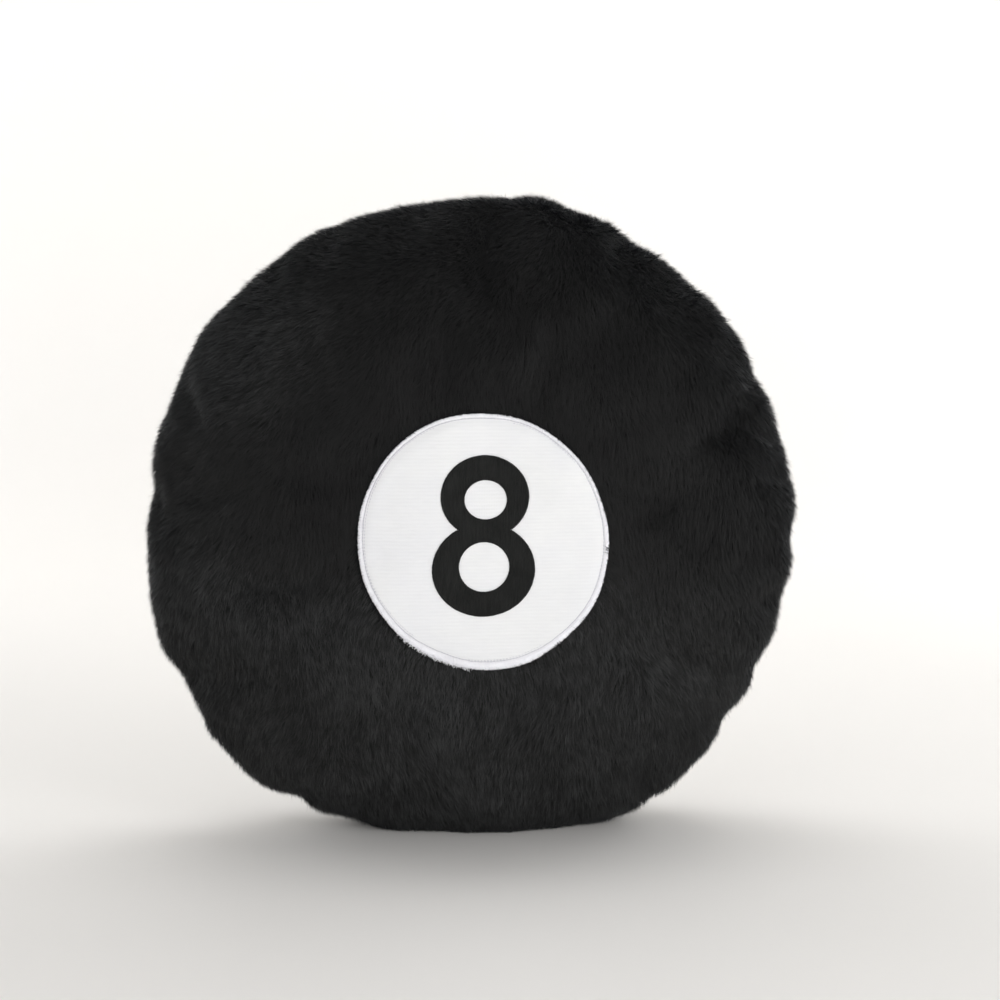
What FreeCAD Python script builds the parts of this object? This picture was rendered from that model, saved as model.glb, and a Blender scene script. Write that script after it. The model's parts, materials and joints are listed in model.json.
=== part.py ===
import FreeCAD, Part
import Sketcher
import math
import os

# Round plush cushion with a numeral patch, standing on its edge.
# Millimetres. +Z up, the patch faces -Y, +X is to the viewer's right.
# The origin is the centre of the flattened edge that the cushion stands on.

doc = FreeCAD.newDocument("round_plush_cushion")

# ---------------------------------------------------------------- driving sizes
SIZES = [
    ("pile_radius", 203.0),  # disc radius to the tips of the pile
    ("crown", 64.0),  # half thickness to the tips of the pile
    ("fabric", 9.0),  # backing cloth and pile together
    ("base_cloth", 6.0),  # the same cloth where the weight presses it flat
    ("disc_centre", 190.0),  # height of the disc's centre over the surface
    ("patch_dx", 2.0),
    ("patch_dz", -2.0),
    ("patch_radius", 76.0),
    ("seat_radius", 77.5),
    ("backing_radius", 74.0),
    ("border_inner", 71.6),
    ("level_seat", 61.0),  # crown heights of the layers of the patch
    ("level_backing", 61.5),
    ("level_twill", 62.7),
    ("level_numeral", 63.5),
    ("level_edge", 63.9),
    ("level_border", 63.9),
    ("upper_dx", 1.6),  # the numeral's two lobes and their counters
    ("upper_dz", 27.4),
    ("upper_half_wide", 25.9),
    ("upper_half_tall", 24.6),
    ("lower_dx", 0.6),
    ("lower_dz", -16.5),
    ("lower_half_wide", 30.4),
    ("lower_half_tall", 28.3),
    ("upper_hole_dz", 25.3),
    ("upper_hole_wide", 12.8),
    ("upper_hole_tall", 12.0),
    ("lower_hole_dz", -15.0),
    ("lower_hole_wide", 14.9),
    ("lower_hole_tall", 15.3),
    ("edge_wide", 1.4),  # satin outline round the numeral
    ("seam_outer", 196.2),
    ("seam_inner", 194.6),
    ("seam_half", 0.8),
    ("seam_low", 2.4),
    ("seam_high", 4.0),
    ("zip_height", 125.0),  # the zip's line over the surface
    ("zip_arc", 546.0),  # radius that the back's curve has along the zip
    ("pocket_angle", 29.2),
    ("pocket_half", 17.0),
    ("pocket_deep", 14.0),
    ("flap_deep", 6.0),
    ("slit_angle", 28.0),
    ("slit_half", 6.0),
    ("tape_angle", 28.0),
    ("tape_edge", 15.5),
    ("tape_outer", 6.0),
    ("tape_inner", 6.6),
    ("chain_gap", 0.75),
    ("coil_edge", 3.0),
    ("coil_top", 3.6),
    ("coil_angle", 26.4),
    ("coil_turn", 0.2),
    ("stitch_near", 9.6),
    ("stitch_far", 10.2),
    ("stitch_deep", 7.1),
    ("stitch_angle", 26.8),
    ("stop_angle", 0.3),
    ("slider_angle", 1.36),
    ("slider_rest", 11.84),
    ("slider_bottom", 8.2),
    ("slider_sole", 6.9),
    ("slider_post", 0.45),
    ("slider_roof", 3.3),
    ("slider_top", 2.1),
    ("slider_half", 4.6),
    ("slider_wall", 3.3),
    ("slider_lip", 5.7),
    ("bail_long", 8.0),
    ("bail_eye", 4.8),
    ("bail_half", 1.5),
    ("bail_top", 0.7),
    ("bail_under", 0.5),
    ("eye_low", 1.9),
    ("pin_deep", 1.2),
    ("pin_radius", 0.5),
    ("arm_radius", 0.6),
    ("arm_in", 2.0),
    ("arm_out", 3.2),
    ("arm_long", 6.5),
    ("pull_long", 21.0),
    ("pull_hole", 1.6),
    ("label_near", 13.6),
    ("label_far", 15.9),
    ("label_drop", 42.0),
    ("label_thick", 0.6),
    ("label_off", 0.4),
    ("liner_y", -3.0),
    ("liner_crown", 51.0),
    ("liner_radius", 190.0),
    ("liner_cloth", 1.0),
    ("liner_low", 8.0),
    ("liner_thread", 1.2),
    ("fill_gap", 0.1),
]
sheet = doc.addObject("Spreadsheet::Sheet", "Sizes")
for row, (name, value) in enumerate(SIZES, start=1):
    sheet.set("A%d" % row, name)
    sheet.set("B%d" % row, str(value))
    sheet.setAlias("B%d" % row, name)
doc.recompute()
V = dict(SIZES)
V = {name: float(sheet.get(name)) for name in V}


def words(text):
    """An expression as a list of names, numbers and signs."""
    out, word = [], ""
    for ch in text + " ":
        if ch.isalnum() or ch in "_.":
            word += ch
            continue
        if word:
            out.append(word)
        word = ""
        if ch != " ":
            out.append(ch)
    return out


def cells(text):
    """An expression with every size's name written as its cell."""
    text = " ".join("Sizes." + w if w in V else w for w in words(text))
    return text.replace("sqrt (", "sqrt(")


def number(text):
    """The same expression's value: sums and products of sizes, plain numbers and brackets."""
    left = words(text)

    def atom():
        w = left.pop(0)
        if w == "-":
            return -atom()
        if w == "(":
            value = total()
            left.pop(0)
            return value
        return V[w] if w in V else float(w)

    def product():
        value = atom()
        while left and left[0] in "*/":
            if left.pop(0) == "*":
                value *= atom()
            else:
                value /= atom()
        return value

    def total():
        value = product()
        while left and left[0] in "+-":
            if left.pop(0) == "+":
                value += product()
            else:
                value -= product()
        return value

    return total()


def bind(ob, **sizes):
    for prop, text in sizes.items():
        ob.setExpression(prop.replace("__", "."), cells(text))
    return ob


def place(ob, x="0", y="0", z="0", axis=(0, 0, 1), angle=0.0):
    """Sets a placement, its position bound to the sheet."""
    ob.Placement = FreeCAD.Placement(
        FreeCAD.Vector(0, 0, 0), FreeCAD.Rotation(FreeCAD.Vector(*axis), angle)
    )
    for key, text in (("x", x), ("y", y), ("z", z)):
        if text != "0":
            ob.setExpression("Placement.Base." + key, cells(text))
    return ob


def add(kind, name):
    return doc.addObject(kind, name)


def cut(name, base, tool):
    ob = add("Part::Cut", name)
    ob.Base, ob.Tool = base, tool
    return ob


def both(name, base, tool):
    ob = add("Part::Common", name)
    ob.Base, ob.Tool = base, tool
    return ob


def join(name, *shapes):
    ob = add("Part::MultiFuse", name)
    ob.Shapes = list(shapes)
    return ob


FRONT, BACK = 90.0, -90.0


def dome(name, side, tall, wide, y="0"):
    """Half of a flattened ball, its pole towards -Y (FRONT) or +Y (BACK)."""
    ob = add("Part::Ellipsoid", name)
    ob.Angle1, ob.Angle2, ob.Angle3 = 0, 90, 360
    bind(ob, Radius1=tall, Radius2=wide, Radius3=wide)
    return place(ob, "0", y, "disc_centre", (1, 0, 0), side)


def slab(name, z0, z1):
    """Everything between two heights."""
    ob = add("Part::Box", name)
    ob.Length, ob.Width = 700, 500
    bind(ob, Height="%s - (%s)" % (z1, z0))
    place(ob, "0", "0", z0)
    ob.Placement.Base.x = -350
    ob.Placement.Base.y = -250
    ob.setExpression("Placement.Base.x", "-350")
    ob.setExpression("Placement.Base.y", "-250")
    return ob


def drum(name, radius, x="patch_dx", z="disc_centre + patch_dz"):
    """A round bar along Y, through the front of the cushion."""
    ob = add("Part::Cylinder", name)
    ob.Height = 80
    bind(ob, Radius=radius)
    place(ob, x, "0", z, (1, 0, 0), 90)
    ob.setExpression("Placement.Base.y", "-20")
    return ob


ARC_Y = "crown * sqrt(1 - ((disc_centre - zip_height) / pile_radius)^2) - zip_arc"
arc_y = (
    V["crown"]
    * math.sqrt(1 - ((V["disc_centre"] - V["zip_height"]) / V["pile_radius"]) ** 2)
    - V["zip_arc"]
)


def sector(name, inner, outer, low, high, start, end):
    """A piece of a ring about the zip's upright axis. Its radii and heights are expressions; its angles are degrees from +Y towards +X."""
    parts = []
    for tag, radius in (("outer", outer), ("inner", inner)):
        ob = add("Part::Cylinder", name + "_" + tag)
        ob.Angle = end - start
        bind(ob, Radius=radius, Height="(%s) - (%s)" % (high, low))
        place(
            ob, "0", ARC_Y, "zip_height + (%s)" % low, (0, 0, 1), 90.0 - end
        )
        parts.append(ob)
    return cut(name, parts[0], parts[1])


# ---------------------------------------------------------------- sketches
def plane(body, role):
    return next(f for f in body.Origin.OriginFeatures if f.Role == role)


def sketch_on(body, name, role):
    sk = body.newObject("Sketcher::SketchObject", name)
    sk.AttachmentSupport = [(plane(body, role), "")]
    sk.MapMode = "FlatFace"
    return sk


def pin_point(sk, geo, pos, x, y):
    """Holds a sketch point at two expressions, measured from the sketch's origin."""
    for kind, text, axis in (("DistanceX", x, -2), ("DistanceY", y, -1)):
        value = number(text)
        if abs(value) < 1e-9:
            sk.addConstraint(Sketcher.Constraint("PointOnObject", geo, pos, axis))
            continue
        i = sk.addConstraint(Sketcher.Constraint(kind, -1, 1, geo, pos, value))
        sk.renameConstraint(i, "p%d" % i)
        sk.setExpression("Constraints.p%d" % i, cells(text))


def outline(sk, points):
    """A closed outline of straight lines through points given as pairs of expressions."""
    first = sk.GeometryCount
    xy = [FreeCAD.Vector(number(x), number(y), 0) for x, y in points]
    n = len(points)
    for i in range(n):
        sk.addGeometry(Part.LineSegment(xy[i], xy[(i + 1) % n]), False)
    for i in range(n):
        sk.addConstraint(
            Sketcher.Constraint("Coincident", first + i, 2, first + (i + 1) % n, 1)
        )
    for i, (x, y) in enumerate(points):
        pin_point(sk, first + i, 1, x, y)


def d_outline(sk, radius, chord):
    """A circle about the sketch's origin, cut off flat below."""
    first = sk.GeometryCount
    r, c = number(radius), number(chord)
    half = math.sqrt(r * r - c * c)
    a = math.atan2(-c, half)
    sk.addGeometry(
        Part.ArcOfCircle(
            Part.Circle(FreeCAD.Vector(0, 0, 0), FreeCAD.Vector(0, 0, 1), r),
            a,
            math.pi - a,
        ),
        False,
    )
    sk.addGeometry(
        Part.LineSegment(FreeCAD.Vector(-half, -c, 0), FreeCAD.Vector(half, -c, 0)),
        False,
    )
    sk.addConstraint(Sketcher.Constraint("Coincident", first, 3, -1, 1))
    sk.addConstraint(Sketcher.Constraint("Coincident", first, 2, first + 1, 1))
    sk.addConstraint(Sketcher.Constraint("Coincident", first + 1, 2, first, 1))
    sk.addConstraint(Sketcher.Constraint("Horizontal", first + 1))
    i = sk.addConstraint(Sketcher.Constraint("Radius", first, r))
    sk.renameConstraint(i, "r%d" % i)
    sk.setExpression("Constraints.r%d" % i, cells(radius))
    i = sk.addConstraint(Sketcher.Constraint("DistanceY", -1, 1, first + 1, 1, -c))
    sk.renameConstraint(i, "c%d" % i)
    sk.setExpression("Constraints.c%d" % i, cells("-1 * (%s)" % chord))


def ring_body(name, r_out, chord_out, r_in, chord_in, half, y):
    """A flat-bottomed ring in the plane of the disc: a seam's line of thread."""
    body = add("PartDesign::Body", name)
    place(body, "0", y, "disc_centre")
    sk = sketch_on(body, name + "_sketch", "XZ_Plane")
    d_outline(sk, r_out, chord_out)
    d_outline(sk, r_in, chord_in)
    pad = body.newObject("PartDesign::Pad", name + "_pad")
    pad.Profile = sk
    pad.Midplane = True
    bind(pad, Length="2 * " + half)
    return body


def swept(name, points, degrees, mid):
    """An outline in the upright plane through the zip's axis, turned about that axis: its points are (distance outwards from the back's surface, height from the zip's line)."""
    body = add("PartDesign::Body", name)
    place(body, "0", ARC_Y, "zip_height", (0, 0, 1), -mid)
    sk = sketch_on(body, name + "_sketch", "YZ_Plane")
    outline(sk, [("zip_arc + (%s)" % u, v) for u, v in points])
    rev = body.newObject("PartDesign::Revolution", name + "_turn")
    rev.Profile = sk
    rev.ReferenceAxis = (sk, ["V_Axis"])
    rev.Midplane = True
    bind(rev, Angle=degrees)
    return body


# ---------------------------------------------------------------- shared cutters
floor = slab("below_floor", "-60", "0")
cavity_floor = slab("below_cavity", "-60", "base_cloth")
upper_space = slab("over_zip", "zip_height", "420")
lower_space = slab("under_zip", "-60", "zip_height")

seam = ring_body(
    "edge_seam_thread",
    "seam_outer",
    "disc_centre - seam_low",
    "seam_inner",
    "disc_centre - seam_high",
    "seam_half",
    "0",
)


def shell(name, side, tall, wide, cloth, low, low_cloth, y="0"):
    """Half of a cushion's cover: a dome of cloth with a flat foot."""
    outer = cut(
        name + "_outer", dome(name + "_skin", side, tall, wide, y), slab(name + "_foot", "-60", low)
    )
    inner = cut(
        name + "_inner",
        dome(name + "_room", side, "%s - %s" % (tall, cloth), "%s - %s" % (wide, cloth), y),
        slab(name + "_sole", "-60", "%s + %s" % (low, low_cloth)),
    )
    return cut(name + "_shell", outer, inner)


# ---------------------------------------------------------------- front of the cover
front_shell = shell("front", FRONT, "crown", "pile_radius", "fabric", "0", "base_cloth")
seat_core = dome("seat_core", FRONT, "level_seat", "pile_radius")
seat = cut("patch_seat", drum("seat_drum", "seat_radius"), seat_core)
front_panel = cut("front_panel", cut("front_seated", front_shell, seat), seam)

# ---------------------------------------------------------------- patch and numeral
def layer(name, low, high):
    return cut(
        name + "_layer",
        dome(name + "_over", FRONT, high, "pile_radius"),
        dome(name + "_under", FRONT, low, "pile_radius"),
    )


patch_backing = both(
    "patch_backing",
    layer("backing", "level_seat", "level_backing"),
    drum("backing_drum", "backing_radius"),
)
patch_twill = both(
    "patch_twill",
    layer("twill", "level_backing", "level_twill"),
    drum("twill_drum", "patch_radius"),
)
patch_border_stitch = both(
    "patch_border_stitch",
    layer("border", "level_twill", "level_border"),
    cut(
        "border_band",
        drum("border_drum", "patch_radius"),
        drum("border_hole", "border_inner"),
    ),
)


def oval(name, half_wide, half_tall, dx, dz):
    """A bar along Y whose section is an ellipse."""
    a, b = number(half_wide), number(half_tall)
    ring = add("Part::Ellipse", name + "_edge")
    if a >= b:
        bind(ring, MajorRadius=half_wide, MinorRadius=half_tall)
        turn = FreeCAD.Rotation(FreeCAD.Vector(1, 0, 0), 90)
    else:
        bind(ring, MajorRadius=half_tall, MinorRadius=half_wide)
        turn = FreeCAD.Rotation(FreeCAD.Vector(1, 0, 0), 90).multiply(
            FreeCAD.Rotation(FreeCAD.Vector(0, 0, 1), 90)
        )
    ring.Placement = FreeCAD.Placement(FreeCAD.Vector(0, -20, 0), turn)
    ring.setExpression("Placement.Base.x", cells("patch_dx + " + dx))
    ring.setExpression("Placement.Base.z", cells("disc_centre + patch_dz + " + dz))
    bar = add("Part::Extrusion", name)
    bar.Base = ring
    bar.DirMode = "Custom"
    bar.Dir = FreeCAD.Vector(0, -1, 0)
    bar.LengthFwd = 80
    bar.Solid = True
    return bar


def numeral(name, grow):
    """The numeral as a bar along Y, its edges moved outwards by grow."""
    body = join(
        name + "_lobes",
        oval(name + "_upper", "upper_half_wide + (%s)" % grow, "upper_half_tall + (%s)" % grow, "upper_dx", "upper_dz"),
        oval(name + "_lower", "lower_half_wide + (%s)" % grow, "lower_half_tall + (%s)" % grow, "lower_dx", "lower_dz"),
    )
    holes = join(
        name + "_holes",
        oval(name + "_upper_hole", "upper_hole_wide - (%s)" % grow, "upper_hole_tall - (%s)" % grow, "upper_dx", "upper_hole_dz"),
        oval(name + "_lower_hole", "lower_hole_wide - (%s)" % grow, "lower_hole_tall - (%s)" % grow, "lower_dx", "lower_hole_dz"),
    )
    return cut(name + "_bar", body, holes)


whole = numeral("whole", "0 * edge_wide")
core = numeral("core", "-1 * edge_wide")
numeral_eight = both(
    "numeral_eight", layer("numeral", "level_twill", "level_numeral"), core
)
numeral_edge_stitch = both(
    "numeral_edge_stitch",
    layer("edge", "level_twill", "level_edge"),
    cut("edge_band", whole, core),
)

# ---------------------------------------------------------------- back of the cover
half_pocket = V["pocket_angle"] / 2
half_slit = V["slit_angle"] / 2
pocket = sector(
    "zip_pocket",
    "zip_arc - pocket_deep",
    "zip_arc - flap_deep",
    "-1 * pocket_half",
    "pocket_half",
    -half_pocket,
    half_pocket,
)
slit = sector(
    "zip_slit",
    "zip_arc - flap_deep - 0.5",
    "zip_arc + 9",
    "-1 * slit_half",
    "slit_half",
    -half_slit,
    half_slit,
)
label_tab = sector(
    "label_tab",
    "zip_arc - 5",
    "zip_arc + label_off + label_thick",
    "-1 * label_thick",
    "0",
    -V["label_far"],
    -V["label_near"],
)
back_shell = shell("back", BACK, "crown", "pile_radius", "fabric", "0", "base_cloth")
back_open = cut(
    "back_open",
    cut("back_pocketed", cut("back_seamed", back_shell, seam), pocket),
    slit,
)
back_panel_upper = both("back_panel_upper", back_open, upper_space)
back_panel_lower = cut(
    "back_panel_lower", both("back_lower", back_open, lower_space), label_tab
)
care_label = join(
    "care_label",
    label_tab,
    sector(
        "label_leaf",
        "zip_arc + label_off",
        "zip_arc + label_off + label_thick",
        "-1 * label_drop",
        "0",
        -V["label_far"],
        -V["label_near"],
    ),
)

# ---------------------------------------------------------------- the zip
# Sections are (outwards from the back's surface, up from the zip's line).
for name, s in (("upper", ""), ("lower", "-1 * ")):
    swept(
        "zip_tape_" + name,
        [
            ("-tape_inner", s + "chain_gap"),
            ("-tape_outer", s + "chain_gap"),
            ("-tape_outer", s + "tape_edge"),
            ("-tape_inner", s + "tape_edge"),
        ],
        "tape_angle",
        0.0,
    )
    swept(
        "zip_coil_" + name,
        [
            ("-tape_outer", s + "chain_gap"),
            ("-coil_top", s + "chain_gap"),
            ("-coil_top", s + "(coil_edge - 0.6)"),
            ("-coil_top - 0.6", s + "coil_edge"),
            ("-tape_outer", s + "coil_edge"),
        ],
        "coil_angle",
        -V["coil_turn"],
    )
    swept(
        "zip_stitch_" + name,
        [
            ("-stitch_deep", s + "stitch_near"),
            ("-tape_inner", s + "stitch_near"),
            ("-tape_inner", s + "stitch_far"),
            ("-stitch_deep", s + "stitch_far"),
        ],
        "stitch_angle",
        0.0,
    )

STOP = [
    ("-tape_outer", "coil_edge"),
    ("-coil_top - 0.6", "coil_edge"),
    ("-coil_top", "coil_edge - 0.6"),
    ("-coil_top", "-1 * coil_edge + 0.6"),
    ("-coil_top - 0.6", "-1 * coil_edge"),
    ("-tape_outer", "-1 * coil_edge"),
    ("-tape_outer", "-1 * coil_edge - 0.6"),
    ("-coil_top + 0.8", "-1 * coil_edge - 0.6"),
    ("-coil_top + 0.8", "coil_edge + 0.6"),
    ("-tape_outer", "coil_edge + 0.6"),
]
swept("zip_top_stop", STOP, "stop_angle", 12.82)
swept("zip_bottom_stop", STOP, "stop_angle", -13.2)

# The slider: two plates joined by a thin post in the gap between the two halves of the chain.
slider = swept(
    "zip_slider",
    [
        ("-slider_bottom", "-1 * slider_half"),
        ("-slider_sole", "-1 * slider_half"),
        ("-slider_sole", "-1 * slider_post"),
        ("-slider_roof", "-1 * slider_post"),
        ("-slider_roof", "-1 * slider_wall"),
        ("-slider_lip", "-1 * slider_wall"),
        ("-slider_lip", "-1 * slider_half"),
        ("-slider_top", "-1 * slider_half"),
        ("-slider_top", "slider_half"),
        ("-slider_lip", "slider_half"),
        ("-slider_lip", "slider_wall"),
        ("-slider_roof", "slider_wall"),
        ("-slider_roof", "slider_post"),
        ("-slider_sole", "slider_post"),
        ("-slider_sole", "slider_half"),
        ("-slider_bottom", "slider_half"),
    ],
    "slider_angle",
    V["slider_rest"],
)
# The bail over the top plate, which holds the puller's bar.
bail = sketch_on(slider, "bail_sketch", "XY_Plane")
outline(
    bail,
    [
        ("-0.5 * bail_long", "zip_arc - slider_top - 0.3"),
        ("0.5 * bail_long", "zip_arc - slider_top - 0.3"),
        ("0.5 * bail_long", "zip_arc + bail_top - 0.5"),
        ("0.5 * bail_long - 1", "zip_arc + bail_top"),
        ("-0.5 * bail_long + 1", "zip_arc + bail_top"),
        ("-0.5 * bail_long", "zip_arc + bail_top - 0.5"),
    ],
)
outline(
    bail,
    [
        ("-0.5 * bail_eye", "zip_arc - eye_low"),
        ("0.5 * bail_eye", "zip_arc - eye_low"),
        ("0.5 * bail_eye", "zip_arc - bail_under"),
        ("-0.5 * bail_eye", "zip_arc - bail_under"),
    ],
)
doc.recompute()
pad = slider.newObject("PartDesign::Pad", "bail_pad")
pad.Profile = bail
pad.Midplane = True
bind(pad, Length="2 * bail_half")
slider.Tip = pad

# The puller, modelled about its own bar and laid along the closed chain.
turn = V["slider_rest"]
pin = add("Part::Cylinder", "pull_bar")
bind(pin, Radius="pin_radius", Height="2 * arm_in + 1.2")
place(pin, "0", "0", "-1 * arm_in - 0.6")
pieces = [pin]
for name, low in (("high", "arm_in"), ("low", "-1 * arm_out")):
    boss = add("Part::Cylinder", "pull_boss_" + name)
    bind(boss, Radius="arm_radius", Height="arm_out - arm_in")
    place(boss, "0", "0", low)
    arm = add("Part::Box", "pull_arm_" + name)
    bind(arm, Length="arm_long + 0.5", Width="2 * arm_radius", Height="arm_out - arm_in")
    place(arm, "-1 * arm_long - 0.5", "-1 * arm_radius", low)
    pieces += [boss, arm]
plate = add("Part::Box", "pull_plate")
bind(plate, Length="pull_long - arm_long", Width="2 * arm_radius", Height="2 * arm_out")
place(plate, "-1 * pull_long", "-1 * arm_radius", "-1 * arm_out")
tip = add("Part::Cylinder", "pull_tip")
bind(tip, Radius="arm_out", Height="2 * arm_radius")
place(tip, "-1 * pull_long", "arm_radius", "0", (1, 0, 0), 90)
grip = add("Part::Cylinder", "pull_grip")
bind(grip, Radius="pull_hole", Height="6")
place(grip, "-1 * pull_long", "3", "0", (1, 0, 0), 90)
puller = cut("zip_puller", join("pull_blank", *(pieces + [plate, tip])), grip)
bar_r = V["zip_arc"] - V["pin_deep"]
puller.Placement = FreeCAD.Placement(
    FreeCAD.Vector(
        bar_r * math.sin(math.radians(turn)),
        arc_y + bar_r * math.cos(math.radians(turn)),
        V["zip_height"],
    ),
    FreeCAD.Rotation(FreeCAD.Vector(0, 0, 1), -turn),
)

# ---------------------------------------------------------------- the insert
ring_body(
    "liner_seam_thread",
    "liner_radius + 0.1 + liner_thread",
    "disc_centre - liner_low + 0.3 + liner_thread",
    "liner_radius + 0.1",
    "disc_centre - liner_low + 0.3",
    "0.4 * liner_thread",
    "liner_y",
)
for name, side in (("front", FRONT), ("back", BACK)):
    outer = cut(
        "insert_" + name + "_outer",
        dome("insert_" + name + "_skin", side, "liner_crown", "liner_radius", "liner_y"),
        slab("insert_" + name + "_foot", "-60", "liner_low"),
    )
    inner = cut(
        "insert_" + name + "_inner",
        dome(
            "insert_" + name + "_room",
            side,
            "liner_crown - liner_cloth",
            "liner_radius - liner_cloth",
            "liner_y",
        ),
        slab("insert_" + name + "_sole", "-60", "liner_low + liner_cloth"),
    )
    cut("liner_" + name, outer, inner)


def core_half(name, side):
    return cut(
        name,
        dome(
            name + "_ball",
            side,
            "liner_crown - liner_cloth - fill_gap",
            "liner_radius - liner_cloth - fill_gap",
            "liner_y",
        ),
        slab(name + "_sole", "-60", "liner_low + liner_cloth + fill_gap"),
    )


fibre_fill = join("fibre_fill", core_half("fill_front", FRONT), core_half("fill_back", BACK))
fibre_fill.Refine = True

# ---------------------------------------------------------------- write the parts
NODES = [
    "front_panel",
    "back_panel_upper",
    "back_panel_lower",
    "edge_seam_thread",
    "patch_backing",
    "patch_twill",
    "patch_border_stitch",
    "numeral_eight",
    "numeral_edge_stitch",
    "zip_tape_upper",
    "zip_tape_lower",
    "zip_coil_upper",
    "zip_coil_lower",
    "zip_stitch_upper",
    "zip_stitch_lower",
    "zip_top_stop",
    "zip_bottom_stop",
    "zip_slider",
    "zip_puller",
    "care_label",
    "liner_front",
    "liner_back",
    "liner_seam_thread",
    "fibre_fill",
]
doc.recompute()
for ob in doc.Objects:
    if "Invalid" in ob.State or "Error" in ob.State:
        raise RuntimeError("%s did not build: %s" % (ob.Name, ob.State))
os.makedirs("parts", exist_ok=True)
made = []
for name in NODES:
    ob = doc.getObject(name)
    ob.Label = name
    shape = ob.Shape
    if shape.isNull() or not shape.isValid() or not shape.Solids:
        raise RuntimeError("%s has no valid solid" % name)
    made.append((name, shape))
for name, shape in made:
    shape.exportStep("parts/%s.step" % name)
    box = shape.BoundBox
    print(
        "%-22s solids %d  volume %11.1f  x %7.1f..%7.1f  y %6.1f..%6.1f  z %6.1f..%6.1f"
        % (name, len(shape.Solids), shape.Volume, box.XMin, box.XMax, box.YMin, box.YMax, box.ZMin, box.ZMax)
    )
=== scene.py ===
"""Looks for a round plush cushion: pile, patch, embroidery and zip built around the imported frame."""

import json
import math

import bmesh
import bpy
import numpy as np
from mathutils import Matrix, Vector


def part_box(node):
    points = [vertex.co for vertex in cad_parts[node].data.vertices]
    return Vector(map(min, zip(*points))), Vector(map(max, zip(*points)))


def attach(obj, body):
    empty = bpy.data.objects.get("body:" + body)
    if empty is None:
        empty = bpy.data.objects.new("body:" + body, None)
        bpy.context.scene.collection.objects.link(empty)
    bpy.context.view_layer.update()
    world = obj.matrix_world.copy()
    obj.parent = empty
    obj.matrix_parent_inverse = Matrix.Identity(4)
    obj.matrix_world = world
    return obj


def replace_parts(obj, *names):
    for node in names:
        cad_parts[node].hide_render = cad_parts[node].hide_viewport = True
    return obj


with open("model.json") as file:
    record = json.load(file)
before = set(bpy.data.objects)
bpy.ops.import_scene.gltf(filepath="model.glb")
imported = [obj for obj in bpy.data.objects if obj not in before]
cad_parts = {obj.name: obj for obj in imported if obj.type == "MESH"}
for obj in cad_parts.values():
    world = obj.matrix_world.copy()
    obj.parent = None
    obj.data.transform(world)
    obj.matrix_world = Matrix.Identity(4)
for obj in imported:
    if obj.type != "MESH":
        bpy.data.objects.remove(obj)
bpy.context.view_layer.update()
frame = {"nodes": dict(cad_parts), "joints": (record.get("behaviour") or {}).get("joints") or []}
MM = 0.001

# ------------------------------------------------------------------ sizes from the frame
front_lo, front_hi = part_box("front_panel")
back_lo, back_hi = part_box("back_panel_upper")
twill_lo, twill_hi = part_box("patch_twill")
R_TIP = front_hi[0]  # to the tips of the pile
ZC = front_hi[2] - R_TIP  # height of the disc's centre
CROWN = back_hi[1]  # half thickness over the pile
PX = 0.5 * (twill_lo[0] + twill_hi[0])
PZ = 0.5 * (twill_lo[2] + twill_hi[2])
slide = next(j for j in frame["joints"] if j["name"] == "zip_slide")
ARC_Y, ZIP_Z = slide["pos_m"][1], slide["pos_m"][2]
ARC_R = (
    CROWN * math.sqrt(1 - ((ZC - ZIP_Z) / R_TIP) ** 2) - ARC_Y
)  # the zip's arc at the tips of the pile
PILE = 4.6 * MM  # how far the pile stands over its backing

# The rim's distance from the disc's centre, over the pile: degrees round from +X towards +Z, and millimetres.
RIM = [
    (0, 202.7), (12, 202.4), (22, 200.2), (33, 203.0), (44, 203.7), (58, 202.5),
    (68, 206.4), (77, 206.0), (88, 202.8), (101, 201.2), (113, 203.4), (121, 205.3),
    (130, 201.9), (139, 205.2), (148, 202.8), (160, 200.4), (172, 197.8), (184, 200.4),
    (199, 205.2), (209, 201.6), (219, 207.3), (228, 207.9), (240, 201.4), (249, 198.2),
    (257, 199.4), (272, 201.2), (288, 202.5), (301, 207.6), (312, 207.9), (324, 202.8),
    (336, 202.4), (348, 202.6),
]


def rim(theta):
    """The rim's distance at angles theta, in metres, as a smooth periodic curve."""
    deg = np.degrees(theta) % 360.0
    a = np.array([p[0] for p in RIM] + [360.0 + RIM[0][0]])
    r = np.array([p[1] for p in RIM] + [RIM[0][1]])
    i = np.clip(np.searchsorted(a, deg, side="right") - 1, 0, len(a) - 2)
    t = (deg - a[i]) / (a[i + 1] - a[i])
    t = t * t * (3 - 2 * t)
    return (r[i] * (1 - t) + r[i + 1] * t) * MM


def waves(seed, length, count=22):
    """A smooth noise over space, about -2 to 2, whose bumps are about length apart."""
    rng = np.random.RandomState(seed)
    k = rng.normal(size=(count, 3))
    k /= np.linalg.norm(k, axis=1)[:, None]
    k *= (2 * np.pi / length * rng.uniform(0.6, 1.5, count))[:, None]
    phase = rng.uniform(0, 2 * np.pi, count)

    def f(p):
        out = np.zeros(len(p))
        for j in range(count):
            out += np.cos(p @ k[j] + phase[j])
        return out * math.sqrt(2.0 / count)

    return f


def smooth(x, a, b):
    t = np.clip((x - a) / (b - a), 0, 1)
    return t * t * (3 - 2 * t)


def unit(v):
    return v / np.maximum(np.linalg.norm(v, axis=-1, keepdims=True), 1e-12)


# ------------------------------------------------------------------ making meshes
def new_object(name, mesh, body="cushion"):
    ob = bpy.data.objects.new(name, mesh)
    bpy.context.scene.collection.objects.link(ob)
    if body:
        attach(ob, body)
    return ob


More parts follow.
